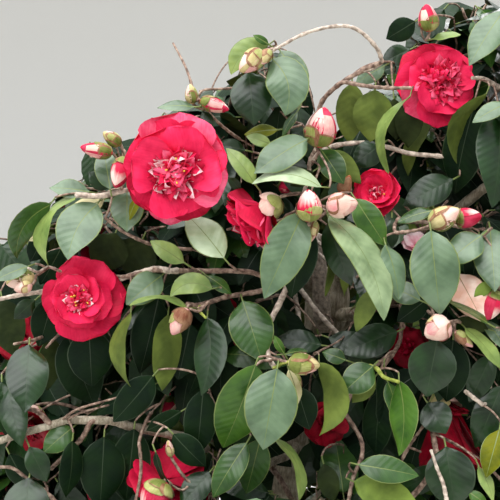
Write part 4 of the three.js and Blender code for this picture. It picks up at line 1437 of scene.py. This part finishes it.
# Further in, behind what the photograph shows, more leaves hang in the dark wherever the view would
# otherwise go through the crown. They hang on the nearest wood.
FILL_DEPTH = 1185
FILL_DEPTH_SPREAD = 150
FILL_ROOM = 3
FILL_REACH = 85


def cover(foot, tip, width):
    """Marks the cells of the view that a leaf covers"""
    (x0, x1), (y0, y1), (near, far) = pixels_of(np.array([foot, tip]))
    half = width / 2 * FOCAL_PIXELS / min(near, far)
    low_x, high_x = np.searchsorted(cells, [min(x0, x1) - half, max(x0, x1) + half])
    low_y, high_y = np.searchsorted(cells, [min(y0, y1) - half, max(y0, y1) + half])
    part = slice(low_y, high_y), slice(low_x, high_x)
    aside, share = from_line(cell_x[part], cell_y[part], (x0, y0), (x1, y1))
    covered[part] |= aside < half * 0.56 * leaf_outline(share)


covered = ~inside_photo | sky | windows
for foot, tip, width in leaf_spans:
    cover(foot, tip, width)
for name, middle, depth, width, facing, make in SEEN_BLOOMS:
    covered |= np.hypot(cell_x - middle[0], cell_y - middle[1]) < 0.4 * width
open_cells = np.argwhere(~covered)
for number in sorted(range(len(open_cells)), key=lambda i: chance(i + 1, 5)):
    row, column = open_cells[number]
    if covered[row, column]:
        continue
    turn = math.radians(-90 + 110 * (chance(number, 6) - 0.5))
    size = 0.75 + 0.3 * chance(number, 7)
    width = LEAF_WIDTH * size * 1.1
    for attempt in range(FILL_ROOM):
        depth = FILL_DEPTH + FILL_DEPTH_SPREAD * (chance(number, 8) + attempt)
        middle = seen_point(cells[column], cells[row], depth)
        direction = unit(round_to(RIGHT, ABOVE, turn) + AHEAD * 0.3 * (chance(number, 9) - 0.5))
        foot = middle - direction * LEAF_LENGTH * size * 0.45
        tip = foot + direction * LEAF_LENGTH * size
        face_up = unit(UP * 0.2 - AHEAD + RIGHT * 0.7 * (chance(number, 10) - 0.5))
        beside = unit(np.cross(direction, face_up)) * width / 2
        back_to = foot - direction * STALK_LENGTH
        held = np.linalg.norm(grown_wood.nearest(back_to, direction, 0.5) - back_to) < FILL_REACH
        if held and is_clear(np.array([foot, tip, middle + beside, middle - beside])):
            # Most fill leaves get the face painted in shade
            face = "leaf_painted_shade" if chance(number, 11) < 0.65 else "dark_leaf"
            add_leaf(front_leaves, back_to, foot, tip, face_up, width, face, "shade_back", SIMPLE)
            join_to_wood(seen_twigs, back_to, direction, 1.0, front_price=0.5)
            cover(foot, tip, width)
            break

# The blooms: red, with two or three rows of broad round petals about a raised tuft of small crumpled
# ones, some tipped pale as partly a painted highlight, among a few yellow stamens. Green-cream scales hold
# them from behind. Lighter petals are painted highlight, darker ones painted shadow, and blooms deep in the
# crown are painted shade.
PETAL_LOOKS = {
    # name: deep tone, lit tone
    "petal_red": ("#de1849", "#f7305f"),
    "petal_shadow": ("#b50e33", "#d71b45"),
    # A lighter pink: painted highlight on lit petals
    "petal_painted_highlight": ("#e93c66", "#fa6d8f"),
    # Pale pink; on the small petals' rims it is partly a painted highlight
    "petal_pale_and_painted_highlight": ("#f59aae", "#fdeceb"),
    # A dark red: painted shade for blooms deep in the crown's shade
    "petal_painted_shade": ("#7a0419", "#a90d29"),
}
PETAL_MOTTLE = 14
PETAL_VEIN = 1.6
PETAL_RELIEF = 0.2
PETAL_ROUGHNESS = 0.5
STAMEN = "#e9c34a"
SCALE_LOOKS = {
    # name: deep tone, lit tone
    "scale_green": ("#858c43", "#bab97b"),
    "scale_olive": ("#5d6a2c", "#8d9450"),
    "scale_brown": ("#7b4a35", "#b08a6a"),
    "scale_cream": ("#b8a870", "#dacb97"),
    "bud_pink": ("#dc8f90", "#f2c8bb"),
    "bud_white": ("#e6b5a6", "#f8dccd"),
    "bud_crimson": ("#b5173a", "#dd4463"),
    "dried_petal": ("#7a3f22", "#b5704a"),
}
FLAME_WIDTH = 4.5
FLAME_FADE = 0.025
FADE_PLACE = 21


def petal_material(name, deep, lit, stretch, vein=PETAL_VEIN, share=0.35, fade=0.0):
    """A petal or a scale: fine lengthwise veins, and patches that are more or less filled with colour.
    fade turns it from the deep to the lit tone along its length, about FADE_PLACE from its foot."""
    material, tree = new_material(name)
    coordinates = add_node(tree, "TexCoord")
    on_plant, on_petal = coordinates.outputs["Object"], coordinates.outputs["UV"]
    mottle = add_node(tree, "TexNoise", {"Vector": on_plant, "Scale": 1 / (PETAL_MOTTLE * MM), "Detail": 3})
    drawn_out = add_node(tree, "Mapping", {"Vector": on_petal, "Scale": (1, stretch, 1)})
    veins = add_node(tree, "TexNoise", {"Vector": drawn_out, "Scale": 1 / (vein * MM), "Detail": 2})
    both = add_node(tree, "Math", {0: veins, 1: share, 2: mottle}, operation="MULTIPLY_ADD")
    place = add_node(tree, "SeparateXYZ", {0: on_petal})
    lengthwise = {0: place.outputs["Y"], 1: fade / MM, 2: -fade * FADE_PLACE}
    along = add_node(tree, "Math", lengthwise, operation="MULTIPLY_ADD")
    evened = add_node(tree, "Math", {0: both, 1: 1 / (1 + share), 2: along}, operation="MULTIPLY_ADD")
    tones = add_node(tree, "ValToRGB", {"Fac": evened})
    set_tones(tones, 0.13, [deep, lit])
    relief = add_node(tree, "Bump", {"Height": veins, "Distance": PETAL_RELIEF * MM, "Strength": 0.5})
    finish_material(tree, Base_Color=tones, Roughness=PETAL_ROUGHNESS, Normal=relief,
                    Specular_IOR_Level=0.14, Sheen_Weight=0.04, Sheen_Roughness=0.4)
    return material


bloom_finishes = [petal_material(name, *look, 0.12) for name, look in PETAL_LOOKS.items()]
bloom_finishes += [petal_material(name, *look, 0.3) for name, look in SCALE_LOOKS.items()]
bloom_finishes.append(petal_material("bud_flamed", "#cf2448", "#f8d6cc", 0.14, FLAME_WIDTH, 1.0, FLAME_FADE))
stamen_finish, tree = new_material("stamen_yellow")
finish_material(tree, Base_Color=linear(STAMEN), Roughness=0.6)
bloom_finishes.append(stamen_finish)
BLOOM_SLOT = {material.name: i for i, material in enumerate(bloom_finishes)}
PETAL_THICKNESS = 0.5
PETAL_SHOULDER = 0.6


def petal_stations(steps):
    """Places along a petal, closer together towards its rim"""
    return 1 - (1 - np.linspace(0, 1, steps)) ** 1.5


def petal_outline(share):
    """Half the width of a petal: narrow at its foot, broad beyond the middle, with a round rim"""
    widening = 0.3 + 0.7 * np.clip(share / PETAL_SHOULDER, 0, 1) ** 0.85
    rounding = np.clip((share - PETAL_SHOULDER) / (1 - PETAL_SHOULDER), 0, 1) ** 2.3
    return np.maximum(widening * np.sqrt(np.clip(1 - rounding, 0, 1)), 0.04)


def petal_columns(columns):
    """The places round a petal or scale: evenly over its upper side, and fewer back along its underside"""
    under = np.linspace(1, -1, columns)[1:-1:2] if columns > 4 else [0.0]
    return np.concatenate([np.linspace(-1, 1, columns), under])


def petal_slots(steps, columns, around, name, edge, rim_rows):
    """A petal's or scale's finishes: one for all of it but its rim and both edges, which have the other"""
    rows = np.full((steps - 1, around), BLOOM_SLOT[name])
    rows[-rim_rows:] = BLOOM_SLOT[edge]
    rows[1:, [0, columns - 2]] = BLOOM_SLOT[edge]
    return rows


def add_petal(heap, spine, up, width, cup, ruffle, phase, columns, name, edge):
    """A petal along a spine, its face towards up. cup lifts its sides and ruffle makes its rim wavy."""
    share = petal_stations(len(spine))
    forward, across, normal = ways_along(spine, up)
    length = length_of(spine)
    half = width / 2 * petal_outline(share)[1:-1, None]
    share = share[1:-1, None]
    places = petal_columns(columns)
    waves = np.sin(3.6 * places + phase) + 0.5 * np.sin(7.3 * places + 2.3 * phase)
    height = half * cup * places**2 + ruffle * width * share**2 * waves
    height[:, columns:] -= PETAL_THICKNESS
    pull = 0.1 * length * np.abs(places) ** 3 * share**3
    rings = spine[1:-1, None] + across[1:-1, None] * (places * half)[..., None]
    rings = rings + normal[1:-1, None] * height[..., None] - forward[1:-1, None] * pull[..., None]
    slots = petal_slots(len(spine), columns, len(places), name, edge, 1)
    heap.add_blade(spine[0], rings, spine[-1], slots, columns, places * half, share * length, length)


def bloom_frame(facing):
    """The way a bloom faces, and seen from before it the ways to its right and to its top"""
    facing = unit(np.array(facing, float))
    across = unit(np.cross(UP, facing) if abs(facing[2]) < 0.95 else np.cross(RIGHT, facing))
    return facing, across, np.cross(facing, across)


# The petals of the three large blooms, from the back to the front: the angle each points at, from the
# right round by the top, and its length and width as shares of the bloom's radius
BIG_PETALS = [
    (-95, 1.02, 0.9), (-55, 0.98, 1.05), (-140, 0.95, 1.0), (175, 0.93, 1.1), (125, 0.95, 1.15),
    (85, 1.03, 1.4), (40, 0.98, 1.15), (-5, 0.95, 1.25), (-118, 0.86, 1.05), (-73, 0.8, 1.3), (20, 0.8, 1.15),
    (100, 0.78, 1.25), (165, 0.8, 1.05),
]
LAYERED_PETALS = [
    (107, 1.0, 0.95), (190, 0.98, 1.1), (-142, 0.92, 1.1), (-90, 1.0, 1.25), (-30, 0.97, 1.1), (8, 1.0, 1.1),
    (60, 0.95, 1.1), (140, 0.72, 1.0), (-110, 0.7, 1.0), (-10, 0.72, 0.9),
]
UPPER_PETALS = [
    (135, 1.0, 1.2), (62, 1.0, 1.25), (180, 0.98, 1.05), (-140, 0.98, 1.15), (10, 0.92, 1.1),
    (-50, 0.95, 1.1), (-92, 1.02, 1.3), (150, 0.78, 1.0), (95, 0.76, 1.1), (30, 0.8, 1.0), (-30, 0.78, 0.9),
    (-115, 0.76, 1.1),
]
# Each row of petals of a bloom that follows the rule: petals, length, width, rise, flare and cup
FLAT_ROWS = [(5, 1.0, 1.3, 0.36, 0.26, 0.14), (4, 0.82, 1.2, 0.5, 0.24, 0.22)]
CUP_ROWS = [(4, 1.0, 1.5, 0.85, 0.0, 0.6), (4, 0.86, 1.35, 0.9, 0.02, 0.6), (3, 0.66, 1.1, 0.92, 0.08, 0.6)]
BELL_ROWS = [(5, 0.92, 1.3, 1.45, 0.1, 0.35), (4, 0.8, 1.1, 1.4, 0.05, 0.35)]
LAYER_STEP = 0.028
PETAL_LAP = 0.13
TUFT_FOOT = 0.14
TUFT_SPLAY = 0.5
BLOOM_DEPTH = 0.34
STAMEN_RADII = [0.5, 0.5, 0.9]
# Stations along and columns across a petal, where the photograph shows it and elsewhere
NEAR_PETAL = (11, 9)
FAR_PETAL = (7, 5)


def ruled_petals(rows, seed):
    """The petals of a bloom that follows the rule: rows of petals, each row turned by half a petal"""
    petals = []
    for number, (count, length, width, rise, flare, cup) in enumerate(rows):
        for k in range(count):
            draw = chance(seed, 40 + 7 * k + number)
            turn = 360 * (k + 0.5 * number + 0.3 * draw) / count + 200 * chance(seed, 1)
            petals.append((turn, length * (0.9 + 0.14 * draw), width * (0.9 + 0.2 * draw), rise, flare, cup))
    return petals


def listed_petals(petals):
    """The petals of a bloom with a list of its own, the back ones flatter and the front ones more cupped"""
    front = np.linspace(0, 1, len(petals))
    return [(*petal, 0.34 + 0.2 * f, 0.27 - 0.05 * f, 0.12 + 0.12 * f) for petal, f in zip(petals, front)]


def add_tuft(heap, base, facing, radius, seed, count, reach, near, hue, pale):
    """Small crumpled petals close together in a bloom's middle, most curling back at the tip"""
    facing, across, over = bloom_frame(facing)
    for k in range(count):
        lean = math.sqrt((k + 0.5) / count)
        turn = k * GOLDEN_ANGLE + seed
        outward = round_to(across, over, turn)
        angle = 0.05 + TUFT_SPLAY * lean + 0.45 * (chance(seed, 200 + k) - 0.5)
        way = round_to(facing, outward, angle)
        face = round_to(-outward, facing, angle)
        face = round_to(face, np.cross(way, face), 2.2 * (chance(seed, 400 + k) - 0.5))
        root = base + outward * radius * TUFT_FOOT * lean
        size = radius * reach * (0.8 + 0.3 * chance(seed, 300 + k)) * (1 - 0.12 * lean)
        curl = 0.45 if chance(seed, 500 + k) < 0.75 else -0.3
        share = petal_stations(6 if near else 5)[:, None]
        spine = root + size * (way * share - face * curl * share**3)
        draw = chance(seed, 600 + k)
        # Half the small petals are painted highlight and a few painted shadow; pale rims are partly painted
        # highlight
        name = "petal_painted_highlight" if draw < 0.5 else "petal_red" if draw < 0.88 else "petal_shadow"
        edge = "petal_pale_and_painted_highlight" if near and chance(seed, 700 + k) < pale else name
        if near and 0.5 - pale / 4 < draw < 0.5:
            name = edge = "petal_pale_and_painted_highlight"
        if hue != "petal_red":
            name = edge = hue if draw < 0.7 else "petal_shadow"
        width = size * (0.52 if near else 0.85)
        add_petal(heap, spine, face, width, 0.3, 0.12, 9 * draw, 6 if near else 4, name, edge)


def add_bloom(heap, middle, facing, width, seed, petals, near, tuft=0.5, depth=BLOOM_DEPTH, crest=0.0,
              count=14, hue="petal_red", pale=0.0, stamens=0):
    """petals are its broad petals, from the back to the front. Shares of its radius: tuft is the length of
    its small petals, crest how high they stand, and depth how far its base lies behind its middle. pale is
    the share of the small petals with a pale rim, which is partly a painted highlight."""
    facing, across, over = bloom_frame(facing)
    radius = width / 2
    base = middle - facing * radius * depth
    steps, columns = NEAR_PETAL if near else FAR_PETAL
    share = petal_stations(steps)[:, None]
    for number, (angle, length, broad, rise, flare, cup) in enumerate(petals):
        outward = round_to(across, over, math.radians(angle))
        out = radius * length * (0.05 + 0.95 * share)
        height = radius * (rise * np.sin(share * math.pi / 2) - flare * share**2.4 + LAYER_STEP * number)
        spine = base + outward * out + facing * height
        up = unit(facing + PETAL_LAP * np.cross(facing, outward))
        draw = chance(seed, 70 + number)
        name = hue
        # A few petals are painted highlight, and some back petals painted shadow
        if hue == "petal_red" and draw > 0.94:
            name = "petal_painted_highlight"
        if number < len(petals) / 3 and draw < 0.25:
            name = "petal_shadow"
        phase = 7 * chance(seed, 100 + number)
        add_petal(heap, spine, up, radius * broad, cup, 0.03, phase, columns, name, name)
    if tuft:
        add_tuft(heap, base + facing * radius * crest, facing, radius, seed, count, tuft, near, hue, pale)
    for k in range(stamens):
        outward = round_to(across, over, k * GOLDEN_ANGLE * 2 + seed)
        root = base + facing * radius * crest + outward * radius * 0.06
        end = root + unit(facing + outward * (0.1 + 0.3 * chance(seed, 800 + k))) * radius * tuft * 1.02
        rings = rings_along(np.linspace(root, end, 3), STAMEN_RADII, 5)
        heap.add_tube(root, rings, end + facing, BLOOM_SLOT["stamen_yellow"])


# The buds: petals rolled to a point, and over them five to eight overlapping scales that grow larger
# upwards, green or cream with brown edges. A bloom keeps its scales behind it.
BUD_PETALS = {
    # kind: the rolled petals' finishes, how far the scales reach, and the scales' finishes
    "opening": (["bud_flamed", "bud_white", "bud_flamed", "bud_pink"], 0.6, ["scale_olive", "scale_green"]),
    "green": (["scale_cream", "bud_pink", "bud_white"], 0.86, ["scale_green", "scale_cream", "scale_olive"]),
    "pale": (["bud_white", "bud_pink", "bud_white"], 0.8, ["bud_white", "scale_cream", "bud_pink"]),
    "brown": (["bud_pink", "scale_cream"], 0.84, ["scale_brown", "scale_green", "scale_brown"]),
    "crimson": (["bud_crimson", "bud_flamed", "bud_crimson"], 0.42, ["scale_green", "scale_olive"]),
    "dried": (["dried_petal", "scale_brown"], 0.5, ["dried_petal", "scale_brown"]),
}
SCALE_TURN = math.radians(144)
CALYX_SCALES = ["bud_white", "scale_cream", "scale_green", "bud_white"] + ["scale_green"] * 3


def bud_profile(share):
    """A bud's radius at a share of its length: round at the foot, fullest before the middle, pointed"""
    share = np.clip(share, 0, 1)
    return np.sin(np.pi * share**0.8) ** 0.6 * (1 - 0.12 * share)


def add_wrap(heap, foot, tip, radius, turn, reach, half_turn, lift, steps, columns, name, edge, lap=0.035):
    """A petal or scale wrapped on a bud from its foot: a patch of the bud's own round shape, reaching that
    share of its length, with one side over its neighbour and the other under it"""
    length = np.linalg.norm(tip - foot)
    along, across, over = bloom_frame(tip - foot)
    share = petal_stations(steps)
    rounding = np.sqrt(np.clip(1 - share**4, 0, 1))
    spread = half_turn * (0.8 + 0.2 * share) * np.maximum(rounding, 0.03)
    places = petal_columns(columns)
    angles = turn + places * spread[1:-1, None]
    swell = radius * bud_profile(np.maximum(share * reach, 0.01))[1:-1, None]
    away = swell * (1 + lift + lap * places) + 0.03 * radius * share[1:-1, None] ** 5
    away[:, columns:] -= PETAL_THICKNESS
    away = np.maximum(away, 0.2)
    outward = round_to(across, over, angles[..., None])
    heights = length * reach * share[1:-1, None]
    rings = foot + along * heights[..., None] + outward * away[..., None]
    rim_radius = radius * bud_profile(min(reach, 1.0)) * (1 + lift) + 0.03 * radius
    rim = foot + along * length * reach + round_to(across, over, turn) * rim_radius
    slots = petal_slots(steps, columns, len(places), name, edge, 2)
    heap.add_blade(foot - along * 0.3, rings, rim, slots, columns, angles * radius, heights, length * reach)


def add_bud(heap, foot, tip, width, seed, kind, near):
    """A flower bud: its petals rolled to a point, in overlapping scales"""
    petals, covers, scales = BUD_PETALS[kind]
    length = np.linalg.norm(tip - foot)
    along, across, over = bloom_frame(tip - foot)
    radius = width / 2
    steps, sides = (9, 12) if near else (5, 6)
    share = np.linspace(0.03, 0.96, steps)
    core = rings_along(foot + along * length * share[:, None], 0.9 * radius * bud_profile(share), sides)
    heap.add_tube(foot, core, tip, BLOOM_SLOT[petals[0]])
    stations, columns = (9, 7) if near else (5, 4)
    turn = seed * 1.3
    for k, name in enumerate(petals if near else petals[:2]):
        turn += SCALE_TURN
        reach = 1.0 - 0.05 * (k % 2) - 0.03 * chance(seed, 8 + k)
        edge = "bud_crimson" if kind == "opening" and k % 2 and near else name
        around = (radius * 0.92, turn, reach, 1.25, 0.02 * k)
        add_wrap(heap, foot, tip, *around, stations, columns, name, edge, 0.05)
    count = 7 if near else 4
    for k in range(count):
        turn += SCALE_TURN
        outer = k / (count - 1)
        reach = covers * (1 - 0.55 * outer) * (0.94 + 0.12 * chance(seed, 21 + k))
        name = scales[k % len(scales)]
        edge = "scale_brown" if near and chance(seed, 31 + k) < 0.75 else name
        around = (radius * 0.96, turn, reach, 1.05, 0.02 + 0.06 * outer)
        add_wrap(heap, foot, tip, *around, stations, columns, name, edge)


def add_calyx(heap, middle, facing, width, near, depth=BLOOM_DEPTH):
    """The scales that hold a bloom from behind, about the end of its stalk"""
    facing, across, over = bloom_frame(facing)
    radius = width / 2
    base = middle - facing * radius * (depth + 0.34)
    top = base + facing * radius * 1.1
    count, steps, columns = (7, 7, 5) if near else (4, 4, 4)
    for k, name in enumerate(CALYX_SCALES[:count]):
        around = (radius * 0.38, k * SCALE_TURN, 0.52 - 0.06 * k, 0.95, 0.03 * k)
        add_wrap(heap, base, top, *around, steps, columns, name, name)
    return base


# The blooms and buds that the photograph shows. Each large bloom has petals of its own, the others follow
# the rule for their shape, and a short stalk from the nearest wood holds each of them by its scales.
LAYERED_RING = [(6, 0.6, 0.8, 0.66, 0.06, 0.4)]
SIDE_ROWS = [(5, 1.0, 1.35, 0.58, 0.22, 0.25), (5, 0.85, 1.2, 0.66, 0.16, 0.3)]
layered_petals = listed_petals(LAYERED_PETALS) + ruled_petals(LAYERED_RING, 5)
cup_petals = ruled_petals(CUP_ROWS, 3)
deep_petals = ruled_petals(FLAT_ROWS, 4)
BLOOM_MAKES = {
    "big": dict(petals=listed_petals(BIG_PETALS), tuft=0.6, crest=0.26, count=140, pale=0.2, stamens=4),
    "layered": dict(petals=layered_petals, tuft=0.45, crest=0.56, count=110, pale=0.2, stamens=6),
    "upper": dict(petals=listed_petals(UPPER_PETALS), tuft=0.6, crest=0.28, count=150),
    "cup": dict(petals=cup_petals, tuft=0.8, depth=0.5, crest=0.34, count=90, pale=0.12, stamens=1),
    "deep": dict(petals=deep_petals, tuft=0.5, crest=0.2, count=40, hue="petal_painted_shade"),
    "blush": dict(petals=deep_petals, tuft=0.0, hue="petal_pale_and_painted_highlight"),
    "lying": dict(petals=deep_petals, tuft=0.0, hue="petal_shadow"),
    "bell": dict(petals=ruled_petals(BELL_ROWS, 6), tuft=0.5, depth=1.05, count=30, hue="petal_painted_shade"),
    "side": dict(petals=ruled_petals(SIDE_ROWS, 8), tuft=0.95, depth=0.5, crest=0.2, count=110, pale=0.15),
}
front_blooms = Heap("blooms_front", bloom_finishes)
front_buds = Heap("buds_front", bloom_finishes)
bloom_places = []
for number, (name, middle, depth, width, facing, make) in enumerate(SEEN_BLOOMS):
    look = BLOOM_MAKES[make]
    place = seen_point(*middle, depth)
    width = real_size(width, depth)
    add_bloom(front_blooms, place, facing, width, number + 3, near=True, **look)
    base = add_calyx(front_blooms, place, facing, width, True, look.get("depth", BLOOM_DEPTH))
    join_to_wood(seen_twigs, base, unit(np.array(facing, float)), 1.7)
    bloom_places.append(place)
for number, (name, foot, tip, width, depth, kind) in enumerate(SEEN_BUDS):
    foot_point = seen_point(*foot, depth + 3)
    tip_point = seen_point(*tip, depth - 3)
    add_bud(front_buds, foot_point, tip_point, real_size(width, depth), number + 1, kind, True)
    join_to_wood(seen_twigs, foot_point, unit(tip_point - foot_point), 1.5)

# The other blooms and buds, at the ends of twigs all over the crown's outside, with room between them.
# They are seen from further off, so they have fewer petals and scales.
BLOOM_APART = 128
BUD_APART = 62
BUD_LIMIT = 190
SITES_FROM = 200
LEAST_BLOOM = 74
BLOOM_SPREAD = 20
LEAST_BUD = 22
BUD_SPREAD = 9
BUD_GIRTH = 0.72
bloom_heaps = {group: Heap(f"blooms_{group}", bloom_finishes) for group in GROUPS}
bud_heaps = {group: Heap(f"buds_{group}", bloom_finishes) for group in GROUPS}
bud_places = []
for i in sorted(range(len(flower_sites)), key=lambda i: chance(i + 1, 77)):
    mass, path, seed, outwards, from_middle = flower_sites[i]
    tip = path[-1]
    if from_middle < SITES_FROM:
        continue
    facing = unit(outwards + 0.5 * unit(path[-1] - path[-2]) - UP * 0.25)
    width = LEAST_BLOOM + BLOOM_SPREAD * chance(seed, 15)
    middle = tip + facing * 20
    _, across, over = bloom_frame(facing)
    rim = middle + width * 0.52 * round_to(across, over, np.linspace(0, 2 * math.pi, 9)[:, None])
    rim = np.concatenate([rim, [middle + facing * width * 0.3]])
    apart = min((np.linalg.norm(middle - other) for other in bloom_places), default=1e6)
    if apart > BLOOM_APART and has_room(mass, rim):
        heap = bloom_heaps[mass.group]
        add_bloom(heap, middle, facing, width, seed, ruled_petals(FLAT_ROWS, seed), False, crest=0.15)
        base = add_calyx(heap, middle, facing, width, False)
        join_to_wood(twig_heaps[mass.group], base, facing, 1.5, front_price=0)
        bloom_places.append(middle)
        continue
    length = LEAST_BUD + BUD_SPREAD * chance(seed, 16)
    apart = min((np.linalg.norm(tip - other) for other in bud_places + bloom_places), default=1e6)
    ends = np.array([tip, tip + facing * length])
    if len(bud_places) < BUD_LIMIT and apart > BUD_APART and has_room(mass, ends):
        kind = ("green", "opening", "brown", "crimson")[int(3.4 * chance(seed, 17))]
        add_bud(bud_heaps[mass.group], tip, tip + facing * length, length * BUD_GIRTH, seed, kind, False)
        bud_places.append(tip)

# The pieces: leaves, twigs, blooms and buds, each kind apart, for each tier of the crown. The leaves of a
# tier take the place of the solids' masses of foliage there.
for group in GROUPS:
    leaves = leaf_heaps[group].make_piece()
    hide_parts(*[f"foliage_{mass.name}" for mass in masses if mass.group == group])
    twig_heaps[group].make_piece()
    bloom_heaps[group].make_piece()
    bud_heaps[group].make_piece()
front_leaves.make_piece()
seen_twigs.make_piece()
front_blooms.make_piece()
front_buds.make_piece()
